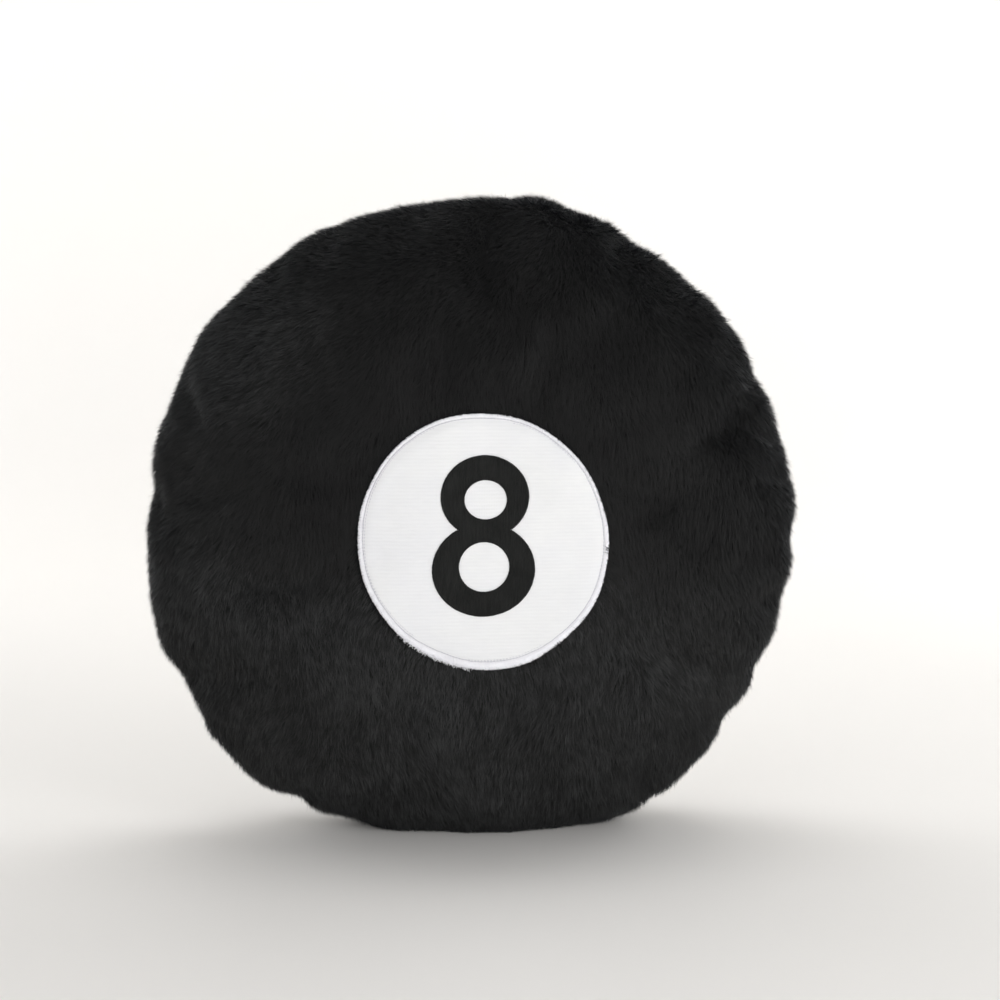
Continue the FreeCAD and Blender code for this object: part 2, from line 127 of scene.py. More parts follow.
def mesh_from(name, verts, faces, smooth_faces=True):
    """A mesh from an array of vertices and a list of arrays of faces, each array with its own corner count."""
    me = bpy.data.meshes.new(name)
    verts = np.ascontiguousarray(verts, np.float32)
    faces = [np.asarray(f, np.int32) for f in faces if len(f)]
    corners = np.concatenate([f.ravel() for f in faces])
    counts = np.concatenate([np.full(len(f), f.shape[1], np.int32) for f in faces])
    starts = np.concatenate([[0], np.cumsum(counts)[:-1]]).astype(np.int32)
    me.vertices.add(len(verts))
    me.vertices.foreach_set("co", verts.ravel())
    me.loops.add(len(corners))
    me.loops.foreach_set("vertex_index", corners)
    me.polygons.add(len(counts))
    me.polygons.foreach_set("loop_start", starts)
    me.update(calc_edges=True)
    me.polygons.foreach_set("use_smooth", np.full(len(counts), smooth_faces))
    me.update()
    me.validate()
    return me


def read_mesh(me):
    v = np.empty(len(me.vertices) * 3, np.float32)
    me.vertices.foreach_get("co", v)
    n = np.empty(len(me.vertices) * 3, np.float32)
    me.vertices.foreach_get("normal", n)
    me.calc_loop_triangles()
    t = np.empty(len(me.loop_triangles) * 3, np.int32)
    me.loop_triangles.foreach_get("vertices", t)
    return (
        v.reshape(-1, 3).astype(float),
        n.reshape(-1, 3).astype(float),
        t.reshape(-1, 3),
    )


# ------------------------------------------------------------------ materials
def material(name):
    m = bpy.data.materials.new(name)
    m.use_nodes = True
    nt = m.node_tree
    nt.nodes.clear()
    out = nt.nodes.new("ShaderNodeOutputMaterial")
    p = nt.nodes.new("ShaderNodeBsdfPrincipled")
    nt.links.new(p.outputs[0], out.inputs["Surface"])
    return m, nt, p


def node(nt, kind, **sets):
    n = nt.nodes.new(kind)
    for k, v in sets.items():
        setattr(n, k, v)
    return n


def ramp(nt, fac, stops, interp="LINEAR"):
    r = nt.nodes.new("ShaderNodeValToRGB")
    r.color_ramp.interpolation = interp
    while len(r.color_ramp.elements) < len(stops):
        r.color_ramp.elements.new(0.5)
    for e, (at, c) in zip(r.color_ramp.elements, stops):
        e.position = at
        e.color = (*c, 1) if len(c) == 3 else c
    nt.links.new(fac, r.inputs[0])
    return r.outputs[0]


def maths(nt, op, a, b=None, clamp=False):
    n = nt.nodes.new("ShaderNodeMath")
    n.operation = op
    n.use_clamp = clamp
    for i, x in enumerate((a, b)):
        if x is None:
            continue
        if isinstance(x, (int, float)):
            n.inputs[i].default_value = x
        else:
            nt.links.new(x, n.inputs[i])
    return n.outputs[0]


def mix(nt, fac, a, b, kind="MIX"):
    n = nt.nodes.new("ShaderNodeMix")
    n.data_type = "RGBA"
    n.blend_type = kind
    for i, x in ((0, fac), (6, a), (7, b)):
        if isinstance(x, (int, float)):
            n.inputs[i].default_value = x
        elif isinstance(x, tuple):
            n.inputs[i].default_value = (*x, 1)
        else:
            nt.links.new(x, n.inputs[i])
    return n.outputs[2]


def noise_tex(nt, vector, scale, detail=3.0, rough=0.55):
    n = nt.nodes.new("ShaderNodeTexNoise")
    n.inputs["Scale"].default_value = scale
    n.inputs["Detail"].default_value = detail
    n.inputs["Roughness"].default_value = rough
    if vector is not None:
        nt.links.new(vector, n.inputs["Vector"])
    return n.outputs["Fac"]


def bump(nt, p, height, strength, distance):
    b = nt.nodes.new("ShaderNodeBump")
    b.inputs["Strength"].default_value = strength
    b.inputs["Distance"].default_value = distance
    nt.links.new(height, b.inputs["Height"])
    nt.links.new(b.outputs[0], p.inputs["Normal"])


def coords(nt):
    return nt.nodes.new("ShaderNodeTexCoord").outputs["Object"]


def stretched(nt, scale):
    """Object coordinates, each axis scaled."""
    n = nt.nodes.new("ShaderNodeMapping")
    n.inputs["Scale"].default_value = scale
    nt.links.new(coords(nt), n.inputs["Vector"])
    return n.outputs[0]


PILE_UV = "OFBake"  # root to tip up the map, shade across it


def pile_material():
    m, nt, p = material("plush_pile")
    uv = nt.nodes.new("ShaderNodeUVMap")
    uv.uv_map = PILE_UV
    split = nt.nodes.new("ShaderNodeSeparateXYZ")
    nt.links.new(uv.outputs[0], split.inputs[0])
    shade, along = split.outputs[0], split.outputs[1]
    root = ramp(
        nt,
        along,
        [
            (0.0, (0.0060, 0.0060, 0.0060)),
            (0.35, (0.0085, 0.0086, 0.0085)),
            (0.75, (0.0112, 0.0114, 0.0112)),
            (1.0, (0.0145, 0.0148, 0.0148)),
        ],
    )
    light = ramp(
        nt,
        shade,
        [
            (0.0, (0.22, 0.22, 0.22)),
            (0.5, (0.95, 0.95, 0.94)),
            (0.8, (1.6, 1.61, 1.61)),
            (1.0, (3.0, 3.05, 3.1)),
        ],
    )
    nt.links.new(mix(nt, 1.0, root, light, "MULTIPLY"), p.inputs["Base Color"])
    nt.links.new(
        ramp(nt, along, [(0.0, (0.8, 0.8, 0.8)), (1.0, (0.52, 0.52, 0.52))]),
        p.inputs["Roughness"],
    )
    p.inputs["Specular IOR Level"].default_value = 0.26
    p.inputs["Sheen Weight"].default_value = 0.04
    p.inputs["Sheen Roughness"].default_value = 0.5
    p.inputs["Sheen Tint"].default_value = (0.62, 0.68, 0.80, 1)
    return m


def backing_material():
    m, nt, p = material("plush_backing")
    c = coords(nt)
    n = noise_tex(nt, c, 900.0, 2.0)
    nt.links.new(
        ramp(nt, n, [(0.3, (0.003, 0.003, 0.0035)), (0.7, (0.008, 0.008, 0.009))]),
        p.inputs["Base Color"],
    )
    nt.links.new(
        ramp(nt, n, [(0.0, (0.95, 0.95, 0.95)), (1.0, (0.8, 0.8, 0.8))]),
        p.inputs["Roughness"],
    )
    p.inputs["Specular IOR Level"].default_value = 0.2
    bump(nt, p, n, 0.4, 0.0006)
    return m


def twill_material():
    m, nt, p = material("white_twill")
    # ribs across, each crossed by fine warp threads
    rib = nt.nodes.new("ShaderNodeTexWave")
    rib.wave_type, rib.bands_direction, rib.wave_profile = "BANDS", "Z", "SIN"
    rib.inputs["Scale"].default_value = 1 / (2 * math.pi * 0.00105 / (2 * math.pi)) / 6.5
    rib.inputs["Distortion"].default_value = 0.6
    rib.inputs["Detail"].default_value = 2.0
    rib.inputs["Detail Scale"].default_value = 1.5
    nt.links.new(coords(nt), rib.inputs["Vector"])
    warp = nt.nodes.new("ShaderNodeTexWave")
    warp.wave_type, warp.bands_direction, warp.wave_profile = "BANDS", "X", "SIN"
    warp.inputs["Scale"].default_value = 310.0
    warp.inputs["Distortion"].default_value = 0.4
    nt.links.new(coords(nt), warp.inputs["Vector"])
    weave = maths(nt, "ADD", maths(nt, "MULTIPLY", rib.outputs["Fac"], 0.7), maths(nt, "MULTIPLY", warp.outputs["Fac"], 0.3))
    slub = noise_tex(nt, stretched(nt, (140, 140, 700)), 1.0, 3.0)
    cloud = noise_tex(nt, coords(nt), 24.0, 2.0)
    base = ramp(nt, weave, [(0.0, (0.735, 0.738, 0.745)), (1.0, (0.785, 0.788, 0.795))])
    base = mix(nt, 0.35, base, ramp(nt, slub, [(0.3, (0.735, 0.738, 0.75)), (0.7, (0.81, 0.81, 0.81))]))
    base = mix(nt, 0.25, base, ramp(nt, cloud, [(0.35, (0.74, 0.74, 0.77)), (0.65, (0.82, 0.82, 0.80))]))
    nt.links.new(base, p.inputs["Base Color"])
    nt.links.new(
        ramp(nt, weave, [(0.0, (0.92, 0.92, 0.92)), (1.0, (0.74, 0.74, 0.74))]),
        p.inputs["Roughness"],
    )
    p.inputs["Specular IOR Level"].default_value = 0.25
    p.inputs["Sheen Weight"].default_value = 0.08
    p.inputs["Sheen Roughness"].default_value = 0.5
    bump(nt, p, maths(nt, "ADD", weave, maths(nt, "MULTIPLY", slub, 0.6)), 0.30, 0.00028)
    return m


def thread_material(name, dark, light, rough=(0.62, 0.42), sheen=0.15, spec=0.4):
    """Satin thread: its fibres run along each stitch, so the noise is fine and the gloss uneven."""
    m, nt, p = material(name)
    fine = noise_tex(nt, coords(nt), 2600.0, 2.0)
    broad = noise_tex(nt, coords(nt), 160.0, 2.0)
    f = maths(nt, "ADD", maths(nt, "MULTIPLY", fine, 0.6), maths(nt, "MULTIPLY", broad, 0.4))
    nt.links.new(ramp(nt, f, [(0.32, dark), (0.68, light)]), p.inputs["Base Color"])
    nt.links.new(
        ramp(nt, fine, [(0.3, (rough[0],) * 3), (0.7, (rough[1],) * 3)]),
        p.inputs["Roughness"],
    )
    p.inputs["Specular IOR Level"].default_value = spec
    p.inputs["Sheen Weight"].default_value = sheen
    p.inputs["Sheen Roughness"].default_value = 0.4
    bump(nt, p, fine, 0.3, 0.00008)
    return m


def metal_material():
    m, nt, p = material("zip_gunmetal")
    n = noise_tex(nt, coords(nt), 700.0, 4.0)
    wear = noise_tex(nt, coords(nt), 2400.0, 3.0, 0.7)
    nt.links.new(
        ramp(nt, wear, [(0.40, (0.13, 0.13, 0.134)), (0.75, (0.27, 0.27, 0.275))]),
        p.inputs["Base Color"],
    )
    nt.links.new(
        ramp(nt, n, [(0.3, (0.28, 0.28, 0.28)), (0.7, (0.42, 0.42, 0.42))]),
        p.inputs["Roughness"],
    )
    p.inputs["Metallic"].default_value = 0.9
    p.inputs["Coat Weight"].default_value = 0.3
    p.inputs["Coat Roughness"].default_value = 0.25
    bump(nt, p, n, 0.15, 0.0001)
    return m


def woven_material(name, dark, light, pitch_x, pitch_z, rough=0.85, depth=0.0002):
    m, nt, p = material(name)
    a = nt.nodes.new("ShaderNodeTexWave")
    a.wave_type, a.bands_direction = "BANDS", "X"
    a.inputs["Scale"].default_value = 0.31 / pitch_x
    a.inputs["Distortion"].default_value = 0.5
    b = nt.nodes.new("ShaderNodeTexWave")
    b.wave_type, b.bands_direction = "BANDS", "Z"
    b.inputs["Scale"].default_value = 0.31 / pitch_z
    b.inputs["Distortion"].default_value = 0.5
    for w in (a, b):
        nt.links.new(coords(nt), w.inputs["Vector"])
    f = maths(nt, "MULTIPLY", a.outputs["Fac"], b.outputs["Fac"])
    n = noise_tex(nt, coords(nt), 120.0, 3.0)
    f = maths(nt, "ADD", maths(nt, "MULTIPLY", f, 0.7), maths(nt, "MULTIPLY", n, 0.3))
    nt.links.new(ramp(nt, f, [(0.1, dark), (0.8, light)]), p.inputs["Base Color"])
    nt.links.new(
        ramp(nt, f, [(0.0, (min(rough + 0.1, 1),) * 3), (1.0, (rough - 0.1,) * 3)]),
        p.inputs["Roughness"],
    )
    p.inputs["Specular IOR Level"].default_value = 0.3
    bump(nt, p, f, 0.5, depth)
    return m


def embroidery_material():
    """Glossy embroidery thread laid upright, each thread's own shade showing as fine upright streaks."""
    m, nt, p = material("black_embroidery")
    streak = noise_tex(nt, stretched(nt, (1500, 1500, 70)), 1.0, 3.0, 0.7)
    broad = noise_tex(nt, coords(nt), 90.0, 2.0)
    f = maths(nt, "ADD", maths(nt, "MULTIPLY", streak, 0.7), maths(nt, "MULTIPLY", broad, 0.3))
    nt.links.new(
        ramp(nt, f, [(0.36, (0.0036, 0.0039, 0.0036)), (0.64, (0.0122, 0.0130, 0.0120))]),
        p.inputs["Base Color"],
    )
    nt.links.new(ramp(nt, streak, [(0.3, (0.74,) * 3), (0.7, (0.52,) * 3)]), p.inputs["Roughness"])
    p.inputs["Specular IOR Level"].default_value = 0.22
    bump(nt, p, streak, 0.35, 0.0001)
    return m


MAT = {
    "embroidery": embroidery_material(),
    "pile": pile_material(),
    "backing": backing_material(),
    "twill": twill_material(),
    "white_thread": thread_material("white_satin_thread", (0.80, 0.795, 0.84), (0.93, 0.93, 0.95), sheen=0.3),
    "lilac_thread": thread_material("inner_line_thread", (0.34, 0.33, 0.40), (0.54, 0.53, 0.60)),
    "black_thread": thread_material("black_satin_thread", (0.0075, 0.0077, 0.0075), (0.0165, 0.017, 0.0165), (0.72, 0.55), 0.0, 0.25),
    "seam_thread": thread_material("black_sewing_thread", (0.006, 0.006, 0.0065), (0.016, 0.016, 0.017)),
    "tape": woven_material("zip_tape_weave", (0.011, 0.011, 0.0115), (0.030, 0.030, 0.031), 0.0009, 0.0009),
    "coil": thread_material("zip_nylon", (0.026, 0.026, 0.027), (0.052, 0.052, 0.054), (0.4, 0.3), 0.0, 0.5),
    "metal": metal_material(),
    "label": woven_material("label_satin_weave", (0.72, 0.72, 0.70), (0.86, 0.86, 0.84), 0.0005, 0.0007, 0.6, 0.0001),
    "liner": woven_material("liner_weave", (0.66, 0.65, 0.61), (0.82, 0.81, 0.78), 0.0012, 0.0012),
    "fibre": woven_material("fibre_wool", (0.74, 0.74, 0.72), (0.9, 0.9, 0.89), 0.004, 0.004, 0.95, 0.001),
    "stabiliser": woven_material("stabiliser_felt", (0.66, 0.66, 0.67), (0.8, 0.8, 0.81), 0.002, 0.002, 0.95, 0.0003),
}

# ------------------------------------------------------------------ the stuffed form
pucker_rng = np.random.RandomState(11)
PUCKERS = [
    (k, pucker_rng.uniform(0, 2 * np.pi), pucker_rng.uniform(0.5, 1.0))
    for k in (9, 13, 17, 20, 23, 26, 29, 33)
]


def puckers(theta, shift):
    out = np.zeros_like(theta)
    for k, phase, size in PUCKERS:
        out += size * np.sin(k * theta + phase + shift * (k % 5))
    return out / 2.2


lumps = waves(3, 0.085)
fine_lumps = waves(5, 0.032)


def form_mesh():
    """The cover's backing cloth: a crowned closed form, puckered along its edge seam and flat where it stands."""
    bm = bmesh.new()
    bmesh.ops.create_cube(bm, size=2.0)
    bmesh.ops.subdivide_edges(bm, edges=bm.edges[:], cuts=47, use_grid_fill=True)
    me = bpy.data.meshes.new("cover_cloth")
    bm.to_mesh(me)
    bm.free()
    v, _, _ = read_mesh(me)
    # even out the cube's squares over a ball
    v = unit(np.tan(v * (np.pi / 4) * 0.999))
    theta = np.arctan2(v[:, 2], v[:, 0])
    s = np.abs(v[:, 1])
    c = np.sqrt(np.maximum(1 - s * s, 0))
    side = np.sign(v[:, 1])
    e = 0.86
    radius = c**e * (rim(theta) - PILE - 0.3 * MM)
    depth = s**e * (CROWN - PILE)
    p = np.stack([radius * np.cos(theta), side * depth, ZC + radius * np.sin(theta)], 1)
    # soft, uneven stuffing
    p[:, 1] += side * smooth(depth, 0.004, 0.03) * lumps(p) * 1.1 * MM
    # the seam draws the cloth in and puckers it
    near = np.exp(-depth / (13 * MM))
    off = np.exp(-(((depth - 15 * MM) / (11 * MM)) ** 2))
    out = (
        puckers(theta, 0.0) * near * 1.1 * MM
        + puckers(theta, side * 0.5) * off * 0.9 * MM
        - np.exp(-((depth / (4.5 * MM)) ** 2)) * 2.0 * MM
    )
    p[:, 0] += np.cos(theta) * out
    p[:, 2] += np.sin(theta) * out
    p += (fine_lumps(p) * 0.25 * MM)[:, None] * unit(
        np.stack([np.cos(theta) * c, side * s, np.sin(theta) * c], 1)
    )
    # its own weight flattens the foot and pushes the sides out
    z = p[:, 2]
    p[:, 1] *= 1 + 0.16 * np.exp(-((np.maximum(z, 0) / 0.034) ** 2))
    k, floor = 5.5 * MM, 1.6 * MM
    d = z - floor
    p[:, 2] = floor + 0.5 * (d + np.sqrt(d * d + k * k)) - 0.35 * k * np.exp(-np.abs(d) / (4 * k))
    p[:, 2] = np.maximum(p[:, 2], 0.9 * MM)
    me.vertices.foreach_set("co", p.astype(np.float32).ravel())
    me.update()
    return me


def zip_coords(p):
    """Degrees round the zip's arc, height over its line and distance outwards from the back's surface."""
    phi = np.degrees(np.arctan2(p[:, 0], p[:, 1] - ARC_Y))
    u = np.hypot(p[:, 0], p[:, 1] - ARC_Y) - ARC_R
    return phi, p[:, 2] - ZIP_Z, u


def stuffed(ob):
    """Blows the cover up against its held seam, foot and patch, and caps how far any point moves."""
    start, _, _ = read_mesh(ob.data)
    d_patch = np.hypot(start[:, 0] - PX, start[:, 2] - PZ)
    held = np.exp(-((start[:, 1] / (5 * MM)) ** 2))
    held = np.maximum(held, 1 - smooth(start[:, 2], 3 * MM, 20 * MM))
    held = np.maximum(held, (1 - smooth(d_patch, 84 * MM, 98 * MM)) * (start[:, 1] < 0))
    phi_, h_, _ = zip_coords(start)
    at_zip = (1 - smooth(np.abs(h_), 20 * MM, 34 * MM)) * (1 - smooth(np.abs(phi_), 15, 17)) * (start[:, 1] > 0)
    held = np.maximum(held, at_zip)
    group = ob.vertex_groups.new(name="held")
    for k in range(1, 11):
        which = np.flatnonzero(np.round(held * 10).astype(int) == k)
        if len(which):
            group.add([int(i) for i in which], k / 10, "REPLACE")
    mod = ob.modifiers.new("stuffing", "CLOTH")
    st = mod.settings
    st.vertex_group_mass = "held"
    st.quality = 6
    st.mass = 0.35
    st.tension_stiffness = st.compression_stiffness = 12
    st.bending_stiffness = 1.2
    st.shrink_min = -0.022
    st.use_pressure = True
    st.uniform_pressure_force = 4.0
    st.effector_weights.gravity = 0.0
    mod.collision_settings.use_collision = False
    mod.point_cache.frame_start, mod.point_cache.frame_end = 1, 20
    sc = bpy.context.scene
    for f in range(1, 21):
        sc.frame_set(f)
    dg = bpy.context.evaluated_depsgraph_get()
    blown = bpy.data.meshes.new_from_object(ob.evaluated_get(dg), depsgraph=dg)
    end, _, _ = read_mesh(blown)
    ob.modifiers.clear()
    ob.vertex_groups.clear()
    sc.frame_set(1)
    move = end - start
    far = np.linalg.norm(move, axis=1, keepdims=True)
    move *= np.minimum(1, 4.5 * MM / np.maximum(far, 1e-9)) * (1 - held)[:, None]
    out = start + move
    out[:, 2] = np.maximum(out[:, 2], 0.9 * MM)
    ob.data.vertices.foreach_set("co", out.astype(np.float32).ravel())
    ob.data.update()
    print("stuffing: moved %.1f mm on average, %.1f mm at most" % (1000 * far.mean(), 1000 * far.max()))


form = new_object("cover_cloth", form_mesh(), None)
stuffed(form)
BASE_V, BASE_N, _ = read_mesh(form.data)
base_faces = np.array([list(q.vertices) for q in form.data.polygons])
seam_at = np.flatnonzero(np.abs(BASE_V[:, 1]) < 0.2 * MM)
sub = form.modifiers.new("finer", "SUBSURF")
sub.levels = sub.render_levels = 1
dg = bpy.context.evaluated_depsgraph_get()
finer = bpy.data.meshes.new_from_object(form.evaluated_get(dg), depsgraph=dg)
form.modifiers.clear()
form.data = finer
finer.polygons.foreach_set("use_smooth", np.full(len(finer.polygons), True))
SLIT_HALF, SLIT_END = 6.3 * MM, 13.9


def zip_channel(v, over_tape, under_zip, gathered=True):
    """Sinks the back's slit under the zip, and lays the cloth beside it over the zip's tapes."""
    v = v.copy()
    phi, h, u = zip_coords(v)
    inside = smooth(SLIT_END + 0.5 - np.abs(phi), 0.0, 0.6) * (v[:, 1] > 0.015)
    level = np.where(np.abs(h) < SLIT_HALF, under_zip, over_tape)
    reach = inside * (1 - smooth(np.abs(h), 16 * MM, 24 * MM))
    if not gathered:
        level = under_zip
    radial = unit(np.stack([v[:, 0], v[:, 1] - ARC_Y, np.zeros(len(v))], 1))
    return v + radial * ((level - u) * reach)[:, None]


# cuts along the slit's edges keep its walls straight
bm = bmesh.new()
bm.from_mesh(finer)
for h_cut in (-SLIT_HALF - 0.25 * MM, -SLIT_HALF + 0.25 * MM, SLIT_HALF - 0.25 * MM, SLIT_HALF + 0.25 * MM):
    near = []
    for f in bm.faces:
        q = f.verts[0].co
        if q.y > 0.015 and abs(q.z - ZIP_Z) < 16 * MM and abs(q.x) < (ARC_R) * math.sin(math.radians(SLIT_END + 1.8)):
            near.append(f)
    geom = list({q for f in near for q in f.verts}) + list({q for f in near for q in f.edges}) + near
    bmesh.ops.bisect_plane(bm, geom=geom, dist=1e-6, plane_co=(0, 0, ZIP_Z + h_cut), plane_no=(0, 0, 1))
bm.to_mesh(finer)
bm.free()
finer.polygons.foreach_set("use_smooth", np.full(len(finer.polygons), True))
v, n, tri = read_mesh(finer)
v = zip_channel(v, -5.35 * MM, -10.8 * MM)
finer.vertices.foreach_set("co", v.astype(np.float32).ravel())
finer.update()
form.data.materials.append(MAT["backing"])
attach(form, "cushion")
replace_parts(form, "front_panel", "back_panel_upper", "back_panel_lower")
SKIN_V, SKIN_N, SKIN_T = read_mesh(finer)

# the insert inside: a sewn liner and the fibre in it, each a little smaller than what holds it
for name, inset, material_name, slot_name, stands_for in (
    ("insert_liner", 4.0, "liner", "liner_cloth", ("liner_front", "liner_back")),
    ("insert_fibre", 6.5, "fibre", "polyester_fibre", ("fibre_fill",)),
):
    q = BASE_V - BASE_N * (inset * MM)
    if name == "insert_fibre":
        q -= BASE_N * ((0.5 + 0.5 * np.abs(waves(14, 0.03)(BASE_V)))[:, None] * MM)
    q = zip_channel(q, 0, -(11.8 + inset) * MM, gathered=False)
    q[:, 2] = np.maximum(q[:, 2], (0.9 + 0.35 * inset) * MM)
    me = mesh_from(name, q, [base_faces])
    me.materials.append(MAT[material_name])
    ob = new_object(name, me)
    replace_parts(ob, *stands_for)


# ------------------------------------------------------------------ the patch's outline
PATCH_X, PATCH_Z = 74.9 * MM, 76.9 * MM  # half width and half height
OUT_X, OUT_Z = PX + 0.25 * MM, PZ - 0.35 * MM  # its middle


# how far the outline strays from an ellipse, each 12 degrees from +X towards +Z, in millimetres
STRAY = [
    1.0, 0.7, 0.5, 0.1, 0.3, -0.3, 0.0, 0.0, 0.0, 0.6, 0.7, -0.4, -0.7, -0.7, -0.7,
    -0.7, -0.8, -1.3, -1.7, -1.7, -1.4, -0.7, 0.1, 1.2, 2.4, 2.7, 2.9, 3.3, 3.2, 2.0,
]


def patch_edge(theta):
    """The patch's outline is cut by hand, so it wavers, and it sags towards its lower right."""
    at = np.arange(31) * 12.0
    by = np.array(STRAY + STRAY[:1])
    deg = np.degrees(theta)
    off = sum(np.interp((deg + d) % 360.0, at, by) for d in (-8.0, -3.0, 3.0, 8.0)) / 4
    return 1 + off * MM / (76 * MM) + 0.004 * np.sin(3 * theta + 0.6) + 0.0035 * np.sin(5 * theta + 2.0) + 0.002 * np.sin(11 * theta + 1.0)


def patch_share(x, z):
    """How far points are from the patch's middle, as a share of the way to its outline."""
    a_, b_ = (x - OUT_X) / PATCH_X, (z - OUT_Z) / PATCH_Z
    return np.hypot(a_, b_) / patch_edge(np.arctan2(b_, a_))


# ------------------------------------------------------------------ pile
def nearest_cell(p, size, seed):
    """For each point, its nearest of one scattered point to each cube of that size, and a random number of that point's."""
    base = np.floor(p / size).astype(np.int64)
    best = np.full(len(p), 1e9)
    spot = np.zeros_like(p)
    value = np.zeros((len(p), 3))
    for dx in (-1, 0, 1):
        for dy in (-1, 0, 1):
            for dz in (-1, 0, 1):
                cell = base + (dx, dy, dz)
                key = (
                    cell[:, 0] * 73856093 ^ cell[:, 1] * 19349663 ^ cell[:, 2] * 83492791
                ) + seed * 1013904223
                r = []
                for salt in range(6):
                    x = (key + salt * 374761393) & 0xFFFFFFFF
                    x = ((x ^ (x >> 13)) * 1274126177) & 0xFFFFFFFF
                    x = ((x ^ (x >> 16)) * 2246822519) & 0xFFFFFFFF
                    x = x ^ (x >> 15)
                    r.append((x & 0xFFFFFF) / float(0x1000000))
                q = (cell + np.stack(r[:3], 1)) * size
                d = np.linalg.norm(q - p, axis=1)
                near = d < best
                best = np.where(near, d, best)
                spot[near] = q[near]
                value[near] = np.stack(r[3:], 1)[near]
    return spot, value


def scatter(count, seed):
    """Points spread over the backing cloth by area, with their normals."""
    rng = np.random.RandomState(seed)
    a, b, c = (SKIN_V[SKIN_T[:, i]] for i in range(3))
    area = np.linalg.norm(np.cross(b - a, c - a), axis=1)
    edge = np.cumsum(area) / area.sum()
    # one point to each equal share of area keeps the spread even
    at = (np.arange(count) + rng.uniform(0, 1, count)) / count
    i = np.minimum(np.searchsorted(edge, at), len(edge) - 1)
    s, t = np.sqrt(rng.uniform(0, 1, count)), rng.uniform(0, 1, count)
    w = np.stack([1 - s, s * (1 - t), s * t], 1)
    p = sum(SKIN_V[SKIN_T[i, j]] * w[:, j : j + 1] for j in range(3))
    n = unit(sum(SKIN_N[SKIN_T[i, j]] * w[:, j : j + 1] for j in range(3)))
    return p, n, rng


sway_a, sway_b = waves(21, 0.11), waves(22, 0.045)
sway_c, lift_a = waves(23, 0.016), waves(24, 0.05)
shade_a, shade_b = waves(31, 0.05), waves(32, 0.012)

STRANDS = 720000
p, n, rng = scatter(STRANDS, 77)
phi, h, u = zip_coords(p)
patch_d = np.hypot(p[:, 0] - PX, p[:, 2] - PZ)
front = p[:, 1] < 0
keep = ~((patch_d < 73.6 * MM) & front)
keep &= ~((np.abs(h) < SLIT_HALF + 0.4 * MM) & (np.abs(phi) < SLIT_END) & (p[:, 1] > 0.015))
keep &= ~((p[:, 2] < 1.9 * MM) & (rng.uniform(0, 1, len(p)) < 0.75))
p, n, phi, h, patch_d, front = (x[keep] for x in (p, n, phi, h, patch_d, front))
count = len(p)

# which way the pile lies: mostly down, brushed about in places
down = np.array([0.0, 0.0, -1.0])
calm = np.where(front, 0.55, 1.0)
lie = down + ((sway_a(p) * 0.22 + sway_b(p) * 0.26) * calm)[:, None] * np.array([1.0, 0, 0])
upper_left = smooth(p[:, 2] - ZC - p[:, 0] * 0.9, 0.05, 0.22) * front
lie = lie + upper_left[:, None] * np.array([-0.7, 0, 0.35])
lie = lie + rng.normal(0, 0.20, (count, 3))
lie = lie - n * (lie * n).sum(1)[:, None]
# on the top of the rim it falls both ways
lie = unit(lie + 1e-6)
rim_near = np.exp(-np.abs(p[:, 1]) / (16 * MM))
tilt0 = np.radians(46 + 3 * lift_a(p) + rng.normal(0, 6, count)) * (1 - 0.28 * rim_near)
tilt1 = np.radians(74 + 4 * lift_a(p) + rng.normal(0, 7, count)) * (1 - 0.26 * rim_near)
stray = rng.uniform(0, 1, count) < 0.14
tilt0 = np.where(stray, tilt0 * (1 - 0.25 * rim_near), tilt0)
tilt1 = np.where(stray, tilt1 * (1 - 0.40 * rim_near), tilt1)
length = (9.2 + 0.5 * lift_a(p) + rng.normal(0, 0.8, count)) * MM
width = rng.uniform(0.20, 0.36, count) * MM

# beside the patch the pile is pressed down by the border's stitches
edge = front & (patch_d < 84 * MM)
press = np.where(edge, 1 - smooth(patch_d, 74 * MM, 84 * MM), 0.0)
away = unit(np.stack([p[:, 0] - PX, np.zeros(count), p[:, 2] - PZ], 1))
push = 0.9 * press * smooth(-away[:, 2], -0.75, 0.1)  # over the patch's top the pile hangs on its border
lie = np.where((press > 0)[:, None], unit(lie + away * push[:, None]), lie)
lie = unit(lie - n * (lie * n).sum(1)[:, None])
tilt0 = tilt0 + press * 0.25
length = length * (1 - 0.18 * press)

# beside the zip the pile parts
zone = (np.abs(phi) < SLIT_END + 1.0) & (p[:, 1] > 0.015)
part = np.where(zone, 1 - smooth(np.abs(h), SLIT_HALF, 19 * MM), 0.0)
clear = np.stack([np.zeros(count), np.zeros(count), np.sign(h)], 1)
lie = np.where((part > 0)[:, None], unit(lie * (1 - part)[:, None] + clear * (1.2 * part)[:, None]), lie)
lie = unit(lie - n * (lie * n).sum(1)[:, None])
length = length * (1 - 0.5 * part)

# tufts: strands lean towards the middle of their own clump
spot, val = nearest_cell(p, 5.0 * MM, 5)
pull = spot - p
pull -= n * (pull * n).sum(1)[:, None]
pull *= np.minimum(1, 3 * MM / np.maximum(np.linalg.norm(pull, axis=1), 1e-9))[:, None]
spot2, val2 = nearest_cell(p, 19 * MM, 9)
turn = ((val2[:, 0] - 0.5) * 0.35 + (val[:, 0] - 0.5) * 0.3) * calm
side_way = np.cross(n, lie)
lie = unit(lie * np.cos(turn)[:, None] + side_way * np.sin(turn)[:, None])
tilt1 += (val2[:, 1] - 0.5) * 0.10 + (val[:, 1] - 0.5) * 0.10
length *= 1 + (val[:, 2] - 0.5) * 0.12

